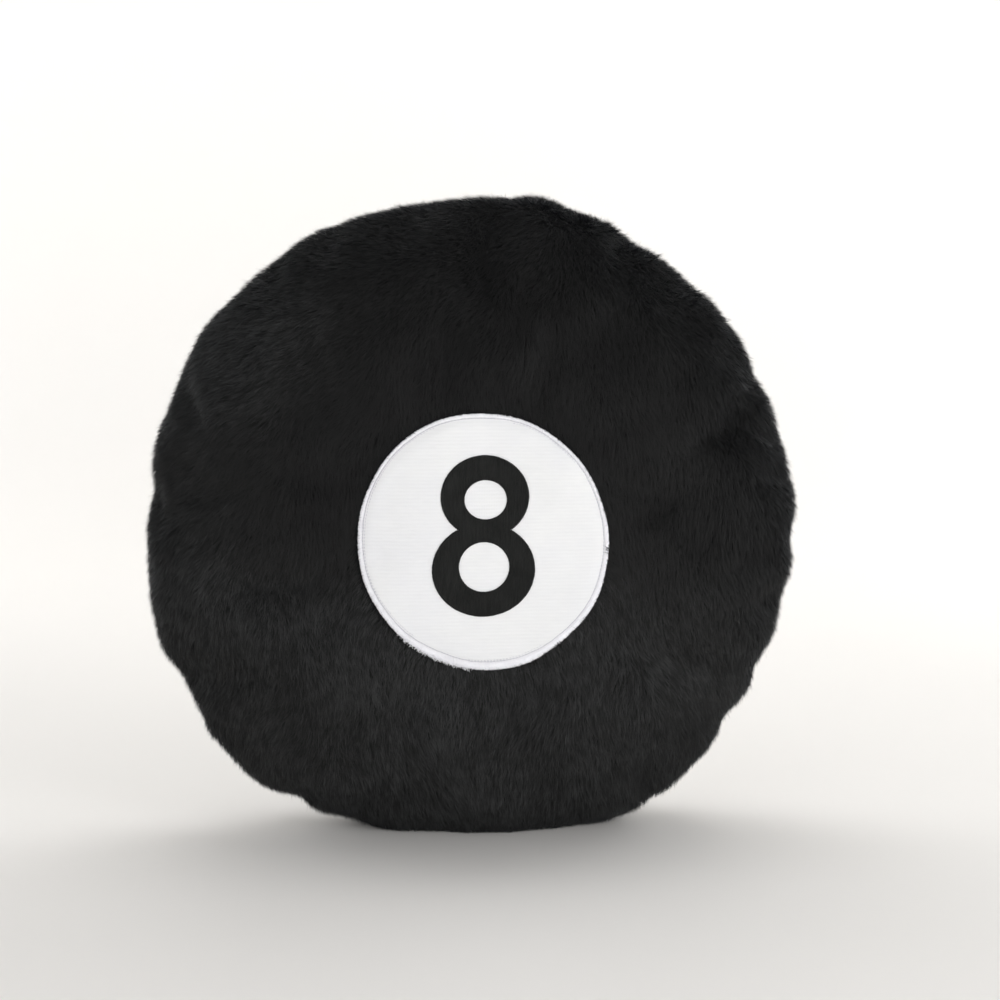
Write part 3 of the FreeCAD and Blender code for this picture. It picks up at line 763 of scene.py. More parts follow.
T = np.array([0.0, 0.5, 1.0])
pos = np.empty((count, 3, 3))
pos[:, 0] = p - n * (0.5 * MM)
for i in range(2):
    mid = 0.5 * (T[i] + T[i + 1])
    ang = tilt0 + (tilt1 - tilt0) * mid
    step = (T[i + 1] - T[i]) * length
    pos[:, i + 1] = pos[:, i] + step[:, None] * (
        n * np.cos(ang)[:, None] + lie * np.sin(ang)[:, None]
    )
curl = rng.normal(0, 0.4 * MM, (count, 2))
bend = np.cross(n, lie)
for i in range(1, 3):
    pos[:, i] += pull * (0.22 * T[i] ** 1.5)
    pos[:, i] += bend * (curl[:, 0] * T[i] + curl[:, 1] * math.sin(math.pi * T[i]))[:, None]

# nothing passes the floor, the patch or the zip's channel
floor_z = 0.35 * MM + rng.uniform(0, 0.5 * MM, count)
pos[:, :, 2] = np.maximum(pos[:, :, 2], floor_z[:, None])
tips = pos[:, 2]
phi_t, h_t, u_t = zip_coords(tips)
bad = (np.abs(h_t) < 5.6 * MM) & (np.abs(phi_t) < SLIT_END + 0.6) & (tips[:, 1] > 0.01)
keen = 0.996 + 0.006 * rng.uniform(-1, 1, count)
bad |= (patch_share(tips[:, 0], tips[:, 2]) < keen) & (tips[:, 1] < 0)
bad |= (patch_share(pos[:, 1, 0], pos[:, 1, 2]) < 0.985) & (tips[:, 1] < 0)
label_lo, label_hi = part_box("care_label")
bad |= (
    (tips[:, 0] > label_lo[0] - 1 * MM)
    & (tips[:, 0] < label_hi[0] + 1 * MM)
    & (tips[:, 2] > label_lo[2] - 1 * MM)
    & (tips[:, 2] < ZIP_Z - 7.5 * MM)
    & (tips[:, 1] > 0)
    & (u_t > -0.6 * MM)
)
good = ~bad

D = unit(pos[:, 2] - pos[:, 0])
S0 = unit(np.cross(D, n))
U0 = np.cross(S0, D)
roll = rng.uniform(-1.0, 1.0, count)
S = S0 * np.cos(roll)[:, None] + U0 * np.sin(roll)[:, None]
F = U0 * np.cos(roll)[:, None] - S0 * np.sin(roll)[:, None]
# the pile's tone: on the front, painted shade over the top and painted light lower down and at the upper left, with
# spots of painted light and painted shade
X, Z = p[:, 0] / MM, (p[:, 2] - ZC) / MM


# a soft round spot of the front's painted light and shade
def painted_light_and_shade_spot(cx, cz, wide):
    return np.exp(-((X - cx) ** 2 + (Z - cz) ** 2) / (2 * wide**2))


front_painted_light_and_shade = (
    -0.34
    + 0.42 * (1 - smooth(Z + 0.12 * X, -60.0, 25.0))
    + 0.50 * painted_light_and_shade_spot(-152, 114, 38)
    + 0.24 * painted_light_and_shade_spot(-138, 128, 30)
    + 0.24 * painted_light_and_shade_spot(-104, 156, 28)
    - 0.28 * painted_light_and_shade_spot(-45, 88, 32)
    - 0.16 * painted_light_and_shade_spot(22, 122, 30)
    - 0.26 * painted_light_and_shade_spot(-112, 8, 26)
    - 0.15 * painted_light_and_shade_spot(-92, 28, 26)
    - 0.12 * painted_light_and_shade_spot(112, 62, 40)
    - 0.20 * painted_light_and_shade_spot(160, 12, 36)
    + 0.22 * painted_light_and_shade_spot(70, 162, 36)
    - 0.08 * painted_light_and_shade_spot(-10, -150, 26)
    + 0.22 * painted_light_and_shade_spot(-150, -10, 34)
    + 0.24 * painted_light_and_shade_spot(-30, -88, 34)
    + 0.05 * painted_light_and_shade_spot(110, 5, 40)
    + 0.13 * painted_light_and_shade_spot(0, -180, 60)
)
# on the front this is painted light and shade, on the back random tone, with a little random tone on both
tone_with_painted_light_and_shade = np.where(front, front_painted_light_and_shade, -0.02 + 0.10 * sway_a(p)) + 0.05 * shade_a(p)
# strands vary more where the painted light is brighter, and less under the painted shade
contrast_by_painted_light = np.clip(0.50 + 1.9 * (tone_with_painted_light_and_shade + 0.25), 0.26, 1.55)
shade = 0.42 + 0.9 * tone_with_painted_light_and_shade + contrast_by_painted_light * (0.035 * shade_b(p) + rng.normal(0, 0.14, count))
cell = np.floor(p / (np.array([1.05, 1.05, 3.8]) * MM) + 0.35 * sway_c(p)[:, None]).astype(np.int64)
key = cell[:, 0] * 73856093 ^ cell[:, 1] * 19349663 ^ cell[:, 2] * 83492791
key = ((key ^ (key >> 13)) * 1274126177) & 0xFFFFFFFF
key = ((key ^ (key >> 16)) * 2246822519) & 0xFFFFFFFF
streak = ((key >> 7) & 0xFFFF) / 65536.0
shade = shade + contrast_by_painted_light * 0.85 * (streak - 0.5)
# a share of strands is made paler: pale strands and painted highlights, more of them and paler where the painted light
# is
pale_strands_and_painted_highlights = rng.uniform(0, 1, count) < 0.07 + 0.05 * contrast_by_painted_light
shade = np.where(pale_strands_and_painted_highlights, shade + 0.50 * contrast_by_painted_light, shade)
shade = np.where(shade < 0.5, 0.096 + 0.808 * shade, shade)
shade = np.clip(shade, 0.004, 0.99)

theta_p = np.degrees(np.arctan2(p[:, 2] - ZC, p[:, 0])) % 360
SECTORS = 6
sector_of = (theta_p // (360 / SECTORS)).astype(int)


def pile_piece(name, which):
    k = np.flatnonzero(which)
    m = len(k)
    w = np.array([0.75, 1.0])
    verts = np.empty((m, 5, 3), np.float32)
    normals = np.empty((m, 5, 3), np.float32)
    across = S[k] * width[k][:, None] * 0.5
    soft = F[k] * 0.3 + n[k] * 0.7
    for i in range(2):
        verts[:, 2 * i] = pos[k, i] - across * w[i]
        verts[:, 2 * i + 1] = pos[k, i] + across * w[i]
        normals[:, 2 * i] = unit(soft - S[k] * 0.35)
        normals[:, 2 * i + 1] = unit(soft + S[k] * 0.35)
    verts[:, 4] = pos[k, 2]
    normals[:, 4] = unit(soft)
    o = (np.arange(m) * 5)[:, None]
    me = mesh_from(name, verts.reshape(-1, 3), [o + [0, 1, 3, 2], o + [2, 3, 4]])
    # map: shade across, root to tip up
    corner = np.empty(len(me.loops), np.int32)
    me.loops.foreach_get("vertex_index", corner)
    strand, at = corner // 5, corner % 5
    uv = np.empty((len(corner), 2), np.float32)
    uv[:, 0] = np.clip(shade[k][strand] + np.where(at % 2 == 1, 0.002, -0.002), 0.001, 0.999)
    uv[:, 1] = np.array([0.01, 0.01, 0.5, 0.5, 0.995])[at]
    layer = me.uv_layers.new(name=PILE_UV)
    layer.uv.foreach_set("vector", uv.ravel())
    me.normals_split_custom_set_from_vertices(normals.reshape(-1, 3))
    me.materials.append(MAT["pile"])
    ob = new_object(name, me)
    return ob


for side_name, side_mask in (("front", front), ("back", ~front)):
    for s_i in range(SECTORS):
        pile_piece("pile_%s_%d" % (side_name, s_i + 1), good & side_mask & (sector_of == s_i))

# ------------------------------------------------------------------ patch

quilt = waves(41, 0.026)


def quilted(x, z):
    """How far the twill stands off its even surface: drawn down at its edge, and softly uneven inside."""
    share = np.hypot((x - OUT_X) / PATCH_X, (z - OUT_Z) / PATCH_Z)
    pp = np.stack([x, np.zeros_like(x), z], -1).reshape(-1, 3)
    return 0.2 * MM * quilt(pp).reshape(np.shape(x)) - 1.4 * MM * smooth(share, 0.90, 1.0)


def dome_y(x, z, lift):
    """The front's surface over the pile at a point of the disc, raised by lift."""
    r = np.hypot(x, z - ZC) / (R_TIP - 1.5 * MM)
    e = 2 / 0.86
    y = (CROWN - 1.4 * MM) * np.maximum(1 - r**e, 0) ** (1 / e)
    pp = np.stack([x, -y, z], -1).reshape(-1, 3)
    y = y + (lumps(pp) * 1.1 * MM).reshape(np.shape(x))
    return -(y + quilted(x, z) + lift)


def patch_point(rho, theta, lift):
    """rho is the share of the way to the outline."""
    k = rho * patch_edge(theta)
    x = OUT_X + PATCH_X * k * np.cos(theta)
    z = OUT_Z + PATCH_Z * k * np.sin(theta)
    y = dome_y(x, z, lift)
    return np.stack([x, y, z], -1)


def grid_faces(rows, cols, closed=True):
    i, j = np.meshgrid(np.arange(rows - 1), np.arange(cols if closed else cols - 1), indexing="ij")
    a = i * cols + j
    b = i * cols + (j + 1) % cols
    return np.stack([a, b, b + cols, a + cols], -1).reshape(-1, 4)


# the twill disc, a little quilted by the stitches round it
rings, cols = 70, 260
rho = np.linspace(0.0, 0.985, rings)[1:]
th = np.linspace(0, 2 * np.pi, cols, endpoint=False)
rr, tt = np.meshgrid(rho, th, indexing="ij")
rise = np.zeros_like(rr)
pts = patch_point(rr, tt, rise)
centre = patch_point(np.array([0.0]), np.array([0.0]), np.array([rise[0].mean()]))
verts = np.concatenate([pts.reshape(-1, 3), centre])
faces = grid_faces(len(rho), cols)[:, ::-1]
c_i = len(verts) - 1
fan = np.stack([np.full(cols, c_i), np.arange(cols), (np.arange(cols) + 1) % cols], 1)
# a hem turned back gives the disc its thickness
hem = patch_point(np.full(cols, 0.985), th, np.full(cols, -4.6 * MM))
hem_start = len(verts)
verts = np.concatenate([verts, hem])
last = (len(rho) - 1) * cols
j = np.arange(cols)
skirt = np.stack([last + j, last + (j + 1) % cols, hem_start + (j + 1) % cols, hem_start + j], 1)[:, ::-1]
me = mesh_from("patch_twill_cloth", verts, [faces, skirt, fan])
me.materials.append(MAT["twill"])
twill = new_object("patch_twill_cloth", me)
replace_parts(twill, "patch_twill")


# the felt behind the twill
rr, tt = np.meshgrid(np.linspace(0.02, 0.965, 22), np.linspace(0, 2 * np.pi, 120, endpoint=False), indexing="ij")
top_ = patch_point(rr, tt, np.full(rr.shape, -1.5 * MM)).reshape(-1, 3)
low_ = patch_point(rr, tt, np.full(rr.shape, -3.2 * MM)).reshape(-1, 3)
ring = np.arange(120)
gf = grid_faces(22, 120)[:, ::-1]
o_ = len(top_)
wall = np.stack([21 * 120 + ring, 21 * 120 + (ring + 1) % 120, o_ + 21 * 120 + (ring + 1) % 120, o_ + 21 * 120 + ring], 1)
eye = np.stack([ring, (ring + 1) % 120, o_ + (ring + 1) % 120, o_ + ring], 1)[:, ::-1]
me = mesh_from("patch_backing_felt", np.concatenate([top_, low_]), [gf, gf[:, ::-1] + o_, wall[:, ::-1], eye[:, ::-1]])
me.materials.append(MAT["stabiliser"])
felt = new_object("patch_backing_felt", me)
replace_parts(felt, "patch_backing")


def stitches(name, a, b, normal, width_m, height_m, mat, body="cushion", sag=0.0, levels=6, sides=5, twist=None):
    """Satin stitches: each a plump half-round strand from a to b, arched along normal."""
    m = len(a)
    t = np.linspace(0, 1, levels)
    along = unit(b - a)
    across = unit(np.cross(along, normal))
    up = np.cross(across, along)
    arch = np.sin(np.pi * np.clip(t, 0, 1)) ** 0.55
    ang = np.linspace(0, np.pi, sides)
    verts = np.empty((m, levels, sides, 3), np.float32)
    w = np.broadcast_to(np.asarray(width_m), (m,))
    h_ = np.broadcast_to(np.asarray(height_m), (m,))
    for i in range(levels):
        mid = a + (b - a) * t[i] + up * (h_ * arch[i] - sag)[:, None]
        thick = 0.55 + 0.45 * arch[i]
        for s_ in range(sides):
            verts[:, i, s_] = (
                mid
                + across * (w * 0.5 * math.cos(ang[s_]) * thick)[:, None]
                + up * (w * 0.42 * math.sin(ang[s_]) * thick)[:, None]
            )
    base = (np.arange(m) * levels * sides)[:, None, None, None]
    i, s_ = np.meshgrid(np.arange(levels - 1), np.arange(sides - 1), indexing="ij")
    q = np.stack(
        [i * sides + s_, i * sides + s_ + 1, (i + 1) * sides + s_ + 1, (i + 1) * sides + s_], -1
    )
    quads = (base + q[None]).reshape(-1, 4)
    me = mesh_from(name, verts.reshape(-1, 3), [quads])
    me.materials.append(mat)
    return new_object(name, me, body)


def front_normal(pt):
    """Outward normal of the front at points near the patch."""
    e = 0.5 * MM
    x, z = pt[:, 0], pt[:, 2]
    y0 = dome_y(x, z, 0.0)
    nx = (dome_y(x + e, z, 0.0) - y0) / e
    nz = (dome_y(x, z + e, 0.0) - y0) / e
    return unit(np.stack([nx, -np.ones(len(x)), nz], 1))


def border_width(theta):
    """The border is stitched a little off centre, so it's wider along the bottom."""
    return (2.70 - 1.35 * np.sin(theta) - 0.45 * np.cos(2 * theta) + 0.16 * np.sin(4 * theta + 1) + 0.10 * np.sin(9 * theta)) * MM


r_ = np.random.RandomState(51)
m = int(2 * math.pi * 76 * MM / (0.45 * MM))
th_ = (np.arange(m) + r_.uniform(-0.2, 0.2, m)) / m * 2 * np.pi
inner = 1 - (border_width(th_) + r_.normal(0, 0.12, m) * MM) / (76 * MM)
a_ = patch_point(inner, th_ - 0.005, np.full(m, 0.02 * MM))
b_ = patch_point(1.003 + r_.normal(0, 0.0022, m), th_ + 0.005, np.full(m, -0.2 * MM))
border = stitches("patch_border_satin", a_, b_, front_normal(a_), 0.53 * MM, 0.48 * MM + r_.normal(0, 0.05 * MM, m), MAT["white_thread"])
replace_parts(border, "patch_border_stitch")

# the line of short stitches just inside the border
m = 230
th_ = np.arange(m) / m * 2 * np.pi
gap = 2 * np.pi / m
r_ = np.random.RandomState(52)
jit = r_.normal(0, 0.0011, m + 1)
jit[-1] = jit[0]
w0 = 1 - (border_width(th_) + 0.42 * MM) / (76 * MM)
w1 = 1 - (border_width(th_ + gap) + 0.42 * MM) / (76 * MM)
a_ = patch_point(w0 + jit[:-1], th_, np.full(m, 0.02 * MM))
b_ = patch_point(w1 + jit[1:], th_ + gap * 0.9, np.full(m, 0.02 * MM))
again = np.degrees(th_)
again = ((again > 112) & (again < 232)) | ((again > 38) & (again < 74)) | ((again > 262) & (again < 300))
off_ = (0.95 + 0.25 * np.sin(5 * th_[again])) * MM / (76 * MM)
a_ = np.concatenate([a_, patch_point((w0 + jit[:-1])[again] - off_, th_[again] + 0.004, np.full(again.sum(), 0.0))])
b_ = np.concatenate([b_, patch_point((w1 + jit[1:])[again] - off_, th_[again] + gap * 0.75, np.full(again.sum(), 0.0))])
line_w = np.concatenate([np.full(m, 0.42 * MM), np.full(again.sum(), 0.24 * MM)])
inner_line = stitches("patch_inner_line", a_, b_, front_normal(a_), line_w, 0.04 * MM, MAT["lilac_thread"])

# threads frayed out of the border at its lower left, and a few at its right
r_ = np.random.RandomState(53)
th_ = np.radians(np.concatenate([r_.normal(247, 8, 170), r_.uniform(228, 264, 90), r_.uniform(318, 352, 70), r_.normal(355, 1.2, 8)]))
m = len(th_)
a_ = patch_point(np.full(m, 0.985), th_, np.full(m, 0.1 * MM))
outw = unit(np.stack([np.cos(th_), np.zeros(m), np.sin(th_)], 1) + r_.normal(0, 0.7, (m, 3)) * [1, 0.25, 1])
reach_ = np.where(np.degrees(th_) > 300, 0.55, 1.0)
b_ = a_ + outw * (r_.uniform(1.2, 3.3, m) * reach_)[:, None] * MM
b_[:, 1] -= r_.uniform(0.2, 1.0, m) * MM
fray = stitches("patch_frayed_threads", a_, b_, front_normal(a_), r_.uniform(0.14, 0.30, m) * MM, r_.uniform(0.0, 0.6, m) * MM, MAT["white_thread"])

# a tuft of pile caught across the border at its right
m = 11
th_ = np.radians(r_.normal(-3.5, 0.5, m))
a_ = patch_point(r_.uniform(1.0, 1.02, m), th_ + r_.normal(0, 0.01, m), np.full(m, 0.2 * MM))
b_ = patch_point(r_.uniform(0.965, 0.99, m), th_ + r_.normal(0, 0.012, m) - 0.02, np.full(m, 0.8 * MM))
tuft = stitches("patch_caught_pile", a_, b_, front_normal(a_), r_.uniform(0.16, 0.3, m) * MM, r_.uniform(0.1, 0.5, m) * MM, MAT["black_thread"])

# ------------------------------------------------------------------ numeral
# Each lobe and each counter is an ellipse: centre x, centre z, half width, half height, in millimetres from the patch's middle.
LOBES = [(2.05, 27.0, 26.5, 24.7), (1.2, -17.0, 30.9, 28.5)]
COUNTERS = [(2.5, 25.2, 12.8, 11.7), (1.5, -15.2, 15.2, 15.2)]


def column_spans(x, grow):
    """The numeral's stretches up one upright line, in millimetres."""
    spans = []
    for cx, cz, a, b in LOBES:
        q = 1 - ((x - cx) / (a + grow)) ** 2
        if q > 0:
            spans.append([cz - (b + grow) * math.sqrt(q), cz + (b + grow) * math.sqrt(q)])
    spans.sort()
    joined = []
    for s_ in spans:
        if joined and s_[0] <= joined[-1][1]:
            joined[-1][1] = max(joined[-1][1], s_[1])
        else:
            joined.append(list(s_))
    for cx, cz, a, b in COUNTERS:
        q = 1 - ((x - cx) / (a - grow)) ** 2
        if q > 0:
            lo_, hi_ = cz - (b - grow) * math.sqrt(q), cz + (b - grow) * math.sqrt(q)
            joined = [
                part_
                for s_ in joined
                for part_ in ([s_[0], min(s_[1], lo_)], [max(s_[0], hi_), s_[1]])
                if part_[1] - part_[0] > 0.3
            ]
    return joined


r_ = np.random.RandomState(61)
starts, ends = [], []
PITCH = 0.44
for ci, x in enumerate(np.arange(-32.0, 34.4, PITCH)):
    for lo_, hi_ in column_spans(x, -0.5):
        z_ = lo_
        step = 4.4
        offset = (ci % 4) * step / 4 + r_.uniform(-0.3, 0.3)
        cuts = [lo_] + [c_ for c_ in np.arange(math.floor(lo_ / step) * step + offset - step, hi_, step) if lo_ + 0.8 < c_ < hi_ - 0.8] + [hi_]
        for a0, a1 in zip(cuts[:-1], cuts[1:]):
            starts.append((x, a0 - 0.15))
            ends.append((x + r_.normal(0, 0.03), a1 + 0.15))
starts, ends = np.array(starts) * MM, np.array(ends) * MM


def on_patch(xz, lift):
    x, z = PX + xz[:, 0], PZ + xz[:, 1]
    return np.stack([x, dome_y(x, z, lift), z], 1)


a_, b_ = on_patch(starts, 0.42 * MM), on_patch(ends, 0.42 * MM)
fill_threads = stitches("numeral_fill_satin", a_, b_, front_normal(a_), (PITCH + 0.06) * MM, 0.16 * MM + r_.normal(0, 0.03 * MM, len(a_)), MAT["embroidery"], levels=5)
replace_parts(fill_threads, "numeral_eight")


def ellipse_run(cx, cz, a, b, skip, n_pts=900):
    """Points along an ellipse, left out where skip says, with outward directions."""
    t = np.linspace(0, 2 * np.pi, n_pts, endpoint=False)
    x, z = cx + a * np.cos(t), cz + b * np.sin(t)
    nx, nz = np.cos(t) / a, np.sin(t) / b
    l_ = np.hypot(nx, nz)
    keep_ = ~skip(x, z)
    return np.stack([x, z], 1)[keep_], np.stack([nx / l_, nz / l_], 1)[keep_]


def in_lobe(i):
    cx, cz, a, b = LOBES[i]
    return lambda x, z: ((x - cx) / a) ** 2 + ((z - cz) / b) ** 2 < 1


runs = []
for i in (0, 1):
    pts_, out_ = ellipse_run(*LOBES[i], in_lobe(1 - i))
    runs.append((pts_, out_))
for c_ in COUNTERS:
    pts_, out_ = ellipse_run(*c_, lambda x, z: np.zeros(len(x), bool))
    runs.append((pts_, -out_))
A, B = [], []
for pts_, out_ in runs:
    seg = np.linalg.norm(np.roll(pts_, -1, 0) - pts_, axis=1)
    jump = int(np.argmax(seg))
    pts_, out_ = np.roll(pts_, -jump - 1, 0), np.roll(out_, -jump - 1, 0)
    dist = np.concatenate([[0], np.cumsum(np.linalg.norm(np.diff(pts_, axis=0), axis=1))])
    idx = np.searchsorted(dist, np.arange(0, dist[-1], 0.42))
    idx = np.minimum(idx, len(pts_) - 1)
    tang = np.stack([-out_[idx][:, 1], out_[idx][:, 0]], 1)
    A.append(pts_[idx] - out_[idx] * (1.7 + r_.normal(0, 0.06, len(idx)))[:, None] - tang * 0.12)
    B.append(pts_[idx] + out_[idx] * (0.15 + r_.normal(0, 0.05, len(idx)))[:, None] + tang * 0.12)
A, B = np.concatenate(A) * MM, np.concatenate(B) * MM
a_, b_ = on_patch(A, 0.5 * MM), on_patch(B, 0.22 * MM)
edge_threads = stitches("numeral_edge_satin", a_, b_, front_normal(a_), 0.5 * MM, 0.36 * MM, MAT["embroidery"])
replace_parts(edge_threads, "numeral_edge_stitch")

# a solid ground under the numeral's threads
gx = np.arange(-31.5, 34.0, 0.5)
verts, faces = [], []
for x in gx:
    for lo_, hi_ in column_spans(x, -0.3):
        zs = np.linspace(lo_, hi_, max(3, int((hi_ - lo_) / 2.5)))
        k0 = len(verts)
        for z_ in zs:
            verts.append((x - 0.25, z_))
            verts.append((x + 0.25, z_))
        for q in range(len(zs) - 1):
            faces.append((k0 + 2 * q, k0 + 2 * q + 1, k0 + 2 * q + 3, k0 + 2 * q + 2))
verts = on_patch(np.array(verts) * MM, 0.4 * MM)
me = mesh_from("numeral_ground", verts, [np.array(faces)])
me.materials.append(MAT["embroidery"])
ground = new_object("numeral_ground", me)

# ------------------------------------------------------------------ the zip
def zip_point(phi_deg, h_, u_):
    a_ = np.radians(phi_deg)
    return np.stack([(ARC_R + u_) * np.sin(a_), ARC_Y + (ARC_R + u_) * np.cos(a_), ZIP_Z + h_ + 0 * a_], -1)


def coil(name, sign):
    """A wound nylon coil: a flattened helix along the zip's arc."""
    turns = 196
    per = 12
    t = np.arange(turns * per + 1) / per
    phi_ = -13.35 + t / turns * 26.3
    w_ = 2 * np.pi * t
    h_ = sign * (1.72 + 1.10 * np.cos(w_)) * MM
    u_ = (-4.8 + 0.92 * np.sin(w_)) * MM
    line = zip_point(phi_, h_, u_)
    tang = unit(np.gradient(line, axis=0))
    side_ = unit(np.cross(tang, [0.0, 0.0, 1.0]) + 1e-9)
    up_ = np.cross(side_, tang)
    sides = 6
    ang = np.arange(sides) / sides * 2 * np.pi
    r0 = 0.30 * MM
    verts = line[:, None] + r0 * (side_[:, None] * np.cos(ang)[None, :, None] + up_[:, None] * np.sin(ang)[None, :, None])
    me = mesh_from(name, verts.reshape(-1, 3), [grid_faces(len(line), sides)])
    me.materials.append(MAT["coil"])
    ob = new_object(name, me)
    return ob


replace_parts(coil("zip_coil_wound_upper", 1), "zip_coil_upper")
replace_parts(coil("zip_coil_wound_lower", -1), "zip_coil_lower")

# the cords that the coils are sewn down with, along each tape's edge
for nm, sign in (("upper", 1), ("lower", -1)):
    m = 150
    ph = np.linspace(-13.6, 13.6, m + 1)
    a_ = zip_point(ph[:-1], sign * np.full(m, 4.1 * MM), np.full(m, -5.85 * MM))
    b_ = zip_point(ph[1:] - 0.012, sign * np.full(m, 4.1 * MM), np.full(m, -5.85 * MM))
    nn = unit(np.stack([a_[:, 0], a_[:, 1] - ARC_Y, np.zeros(m)], 1))
    ob = stitches("zip_tape_sewing_" + nm, a_, b_, nn, 0.5 * MM, 0.1 * MM, MAT["seam_thread"])

# ------------------------------------------------------------------ seams: the cover's own, and its liner's
order = seam_at[np.argsort(np.arctan2(BASE_V[seam_at, 2] - ZC, BASE_V[seam_at, 0]))]
loop_pts = BASE_V[order]
for nm, inset, slot_name, mat_name, stands_for, count_ in (
    ("cover_seam_stitches", -0.2, "black_thread", "seam_thread", "edge_seam_thread", 420),
    ("liner_seam_stitches", 4.0, "liner_thread", "liner", "liner_seam_thread", 320),
):
    ring_n = unit(np.stack([loop_pts[:, 0], np.zeros(len(loop_pts)), loop_pts[:, 2] - ZC], 1))
    line = loop_pts - ring_n * (inset * MM)
    line[:, 2] = np.maximum(line[:, 2], (0.7 + 0.35 * max(inset, 0)) * MM)
    closed = np.concatenate([line, line[:1]])
    dist = np.concatenate([[0], np.cumsum(np.linalg.norm(np.diff(closed, axis=0), axis=1))])
    at_ = np.linspace(0, dist[-1], count_ + 1)
    pts_ = np.stack([np.interp(at_, dist, closed[:, k]) for k in range(3)], 1)
    out_ = unit(np.stack([pts_[:-1, 0], np.zeros(count_), pts_[:-1, 2] - ZC], 1))
    a_, b_ = pts_[:-1], pts_[:-1] + (pts_[1:] - pts_[:-1]) * 0.86
    ob = stitches(nm, a_, b_, out_, 0.6 * MM, 0.1 * MM, MAT[mat_name])
    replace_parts(ob, stands_for)

# ------------------------------------------------------------------ care label: a folded satin tape, blank
rows, cols = 40, 14
s_ = np.linspace(0, 1, rows)
c_ = np.linspace(0, 1, cols)
ss, cc = np.meshgrid(s_, c_, indexing="ij")
phi_l = -15.9 + cc * 2.3
drop = label_hi[2] - label_lo[2]
curl_ = 1.6 * MM * np.sin(np.pi * ss**0.8) + 2.4 * MM * ss**2 * (cc - 0.3) + 0.5 * MM * np.sin(7 * cc) * ss
curl_ = curl_ - 4.2 * MM * (1 - smooth(ss * drop, 0.0, 9 * MM))
top_ = min(label_hi[2] - ZIP_Z - 0.3 * MM, -7.2 * MM)  # just under the slit's lower edge
h_ = top_ - ss * (top_ - (label_lo[2] - ZIP_Z + 0.3 * MM))
outer_ = zip_point(phi_l, h_, 0.75 * MM + curl_)
inner_ = zip_point(phi_l, h_, 0.35 * MM + curl_)
verts = np.concatenate([outer_.reshape(-1, 3), inner_.reshape(-1, 3)])
fo = grid_faces(rows, cols, closed=False)
fi = fo[:, ::-1] + rows * cols
rimq = []
loop = [r * cols for r in range(rows)] + [(rows - 1) * cols + c for c in range(1, cols)] + [r * cols + cols - 1 for r in range(rows - 2, -1, -1)] + [c for c in range(cols - 2, 0, -1)]
for a0, a1 in zip(loop, loop[1:] + loop[:1]):
    rimq.append((a1, a0, a0 + rows * cols, a1 + rows * cols))
me = mesh_from("care_label_tape", verts, [fo, fi, np.array(rimq)])
me.materials.append(MAT["label"])
label = new_object("care_label_tape", me)
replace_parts(label, "care_label")
# the two rows that hold it into the seam
held_at = [(k, i) for k in range(1, cols - 1) for i in (5, 7)]
a_ = np.array([outer_[i, k] for k, i in held_at])
b_ = np.array([outer_[i, k] * 0.25 + outer_[i, k + 1] * 0.75 for k, i in held_at])
out_ = unit(np.stack([a_[:, 0], a_[:, 1] - ARC_Y, np.zeros(len(a_))], 1))
ob = stitches("care_label_sewing", a_, b_, out_, 0.35 * MM, 0.1 * MM, MAT["seam_thread"])

# ------------------------------------------------------------------ finishes on the frame's own pieces
WEARS = {
    "zip_tape_upper": "tape",
    "zip_tape_lower": "tape",
    "zip_stitch_upper": "seam_thread",
    "zip_stitch_lower": "seam_thread",
    "zip_top_stop": "metal",
    "zip_bottom_stop": "metal",
    "zip_slider": "metal",
    "zip_puller": "metal",
}
for name, mat_name in WEARS.items():
    ob = frame["nodes"][name]
    for slot_ in ob.material_slots:
        slot_.material = MAT[mat_name]

# ------------------------------------------------------------------ floor, lights and camera
def stage_material(name, colour, rough):
    m, nt, p = material(name)
    n_ = noise_tex(nt, coords(nt), 3.0, 3.0)
    nt.links.new(
        ramp(nt, n_, [(0.2, tuple(c * 0.985 for c in colour)), (0.8, colour)]),
        p.inputs["Base Color"],
    )
    p.inputs["Roughness"].default_value = rough
    p.inputs["Specular IOR Level"].default_value = 0.25
    return m


def lit_from_below(ob_material):
    """Far from the middle, in front and to both sides, the floor glows softly so that it stays even."""
    nt = ob_material.node_tree
    p = next(q for q in nt.nodes if q.type == "BSDF_PRINCIPLED")
    split = nt.nodes.new("ShaderNodeSeparateXYZ")
    nt.links.new(coords(nt), split.inputs[0])
    side = maths(nt, "ABSOLUTE", split.outputs[0], 0.0)
    ahead = maths(nt, "MULTIPLY", split.outputs[1], -1.0)
    far = maths(nt, "MULTIPLY", maths(nt, "MAXIMUM", side, ahead), 0.25)
    glow = ramp(nt, far, [(0.30, (0, 0, 0)), (0.46, (0.30, 0.30, 0.30)), (0.60, (0.44, 0.44, 0.44))])
    nt.links.new(glow, p.inputs["Emission Color"])
    p.inputs["Emission Strength"].default_value = 1.0
    return ob_material


prof = [(-7.0, 0.0), (-3.0, 0.0), (0.9, 0.0), (1.25, 0.02), (1.5, 0.1), (1.65, 0.25), (1.72, 0.5), (1.74, 3.2)]
xs = np.linspace(-6, 6, 13)
verts = np.array([(x, y, z) for (y, z) in prof for x in xs])
floor_me = mesh_from("floor", verts, [grid_faces(len(prof), len(xs), closed=False)])
floor_ob = new_object("floor", floor_me, None)
floor_ob.modifiers.new("round", "SUBSURF").render_levels = 2
floor_me.materials.append(lit_from_below(stage_material("pale_floor", (0.90, 0.88, 0.85), 0.6)))

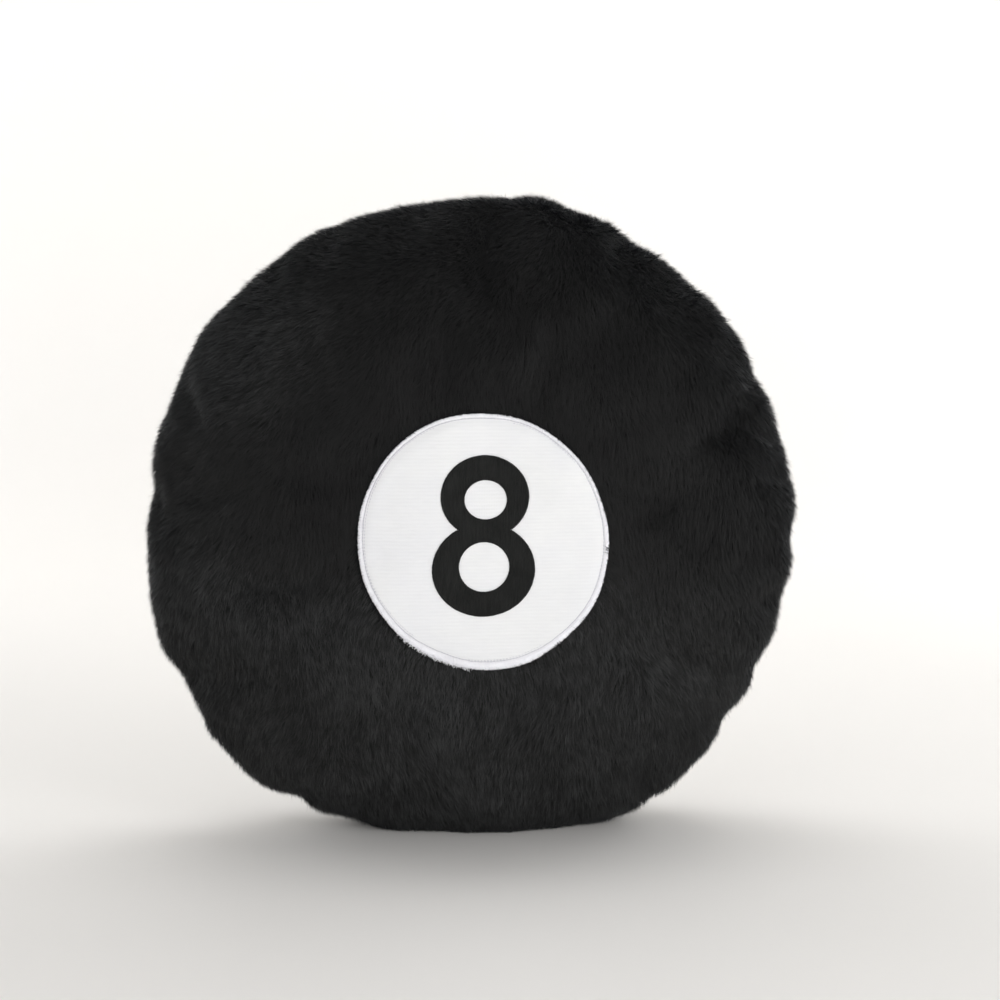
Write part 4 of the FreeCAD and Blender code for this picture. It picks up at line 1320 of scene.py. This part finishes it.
scene = bpy.context.scene
world = bpy.data.worlds.new("studio")
scene.world = world
world.use_nodes = True
sky_nt = world.node_tree
back_ = sky_nt.nodes["Background"]
geo_ = sky_nt.nodes.new("ShaderNodeTexCoord")
up_split = sky_nt.nodes.new("ShaderNodeSeparateXYZ")
sky_nt.links.new(geo_.outputs["Generated"], up_split.inputs[0])
height_ = maths(sky_nt, "ADD", maths(sky_nt, "MULTIPLY", up_split.outputs[2], 0.5), 0.5)
sky_nt.links.new(
    ramp(sky_nt, height_, [(0.0, (0.90, 0.90, 0.90)), (0.50, (0.92, 0.92, 0.93)), (0.58, (1.0, 1.0, 1.01)), (0.76, (0.42, 0.42, 0.43)), (1.0, (0.25, 0.25, 0.25))]),
    back_.inputs[0],
)
back_.inputs[1].default_value = 0.72


def area(name, at, to, size, power, colour=(1, 1, 1)):
    li = bpy.data.lights.new(name, "AREA")
    li.shape = "RECTANGLE"
    li.size, li.size_y = size
    li.energy = power
    li.color = colour
    ob = bpy.data.objects.new(name, li)
    ob.location = at
    ob.rotation_euler = (Vector(to) - Vector(at)).to_track_quat("-Z", "Y").to_euler()
    ob.visible_camera = False
    scene.collection.objects.link(ob)
    return ob


area("key", (1.5, -1.6, 0.65), (0, 0, 0.2), (1.1, 0.9), 18.5)
area("fill", (-1.6, -1.6, 0.5), (0, 0, 0.2), (1.4, 1.0), 6.6, (0.98, 0.99, 1.0))
area("low", (0.3, -2.0, 0.25), (0, 0, 0.1), (1.8, 0.4), 7.7)
area("top", (0.1, 0.6, 1.9), (0, 0.2, 0.0), (1.8, 1.4), 9)
area("back_right", (1.4, 1.1, 0.7), (0, 0, 0.2), (0.9, 1.0), 8, (0.96, 0.98, 1.0))
area("back_left", (-1.4, 1.1, 0.7), (0, 0, 0.2), (0.9, 1.0), 7, (0.98, 0.99, 1.0))
wash = area("backdrop_wash", (0.0, 0.5, 2.2), (0, 1.6, 0.9), (2.4, 0.6), 8)

cam_data = bpy.data.cameras.new("camera")
cam = bpy.data.objects.new("camera", cam_data)
scene.collection.objects.link(cam)
cam_data.lens = 86.83
cam_data.sensor_width = 36.0
cam_data.clip_start, cam_data.clip_end = 0.05, 50
az, el, dist = math.radians(-4.0), math.radians(7.5), 1.5
centre_v = Vector((0, 0, ZC))
view_dir = Vector((math.sin(az) * math.cos(el), -math.cos(az) * math.cos(el), math.sin(el)))
cam.location = centre_v + view_dir * dist
right_v = Vector((math.cos(az), math.sin(az), 0))
up_v = view_dir.cross(right_v)
aim = centre_v + right_v * 0.0181 + up_v * 0.0156
cam.rotation_euler = (aim - cam.location).to_track_quat("-Z", "Y").to_euler()
scene.camera = cam
scene.view_settings.view_transform = "Standard"
scene.view_settings.look = "None"
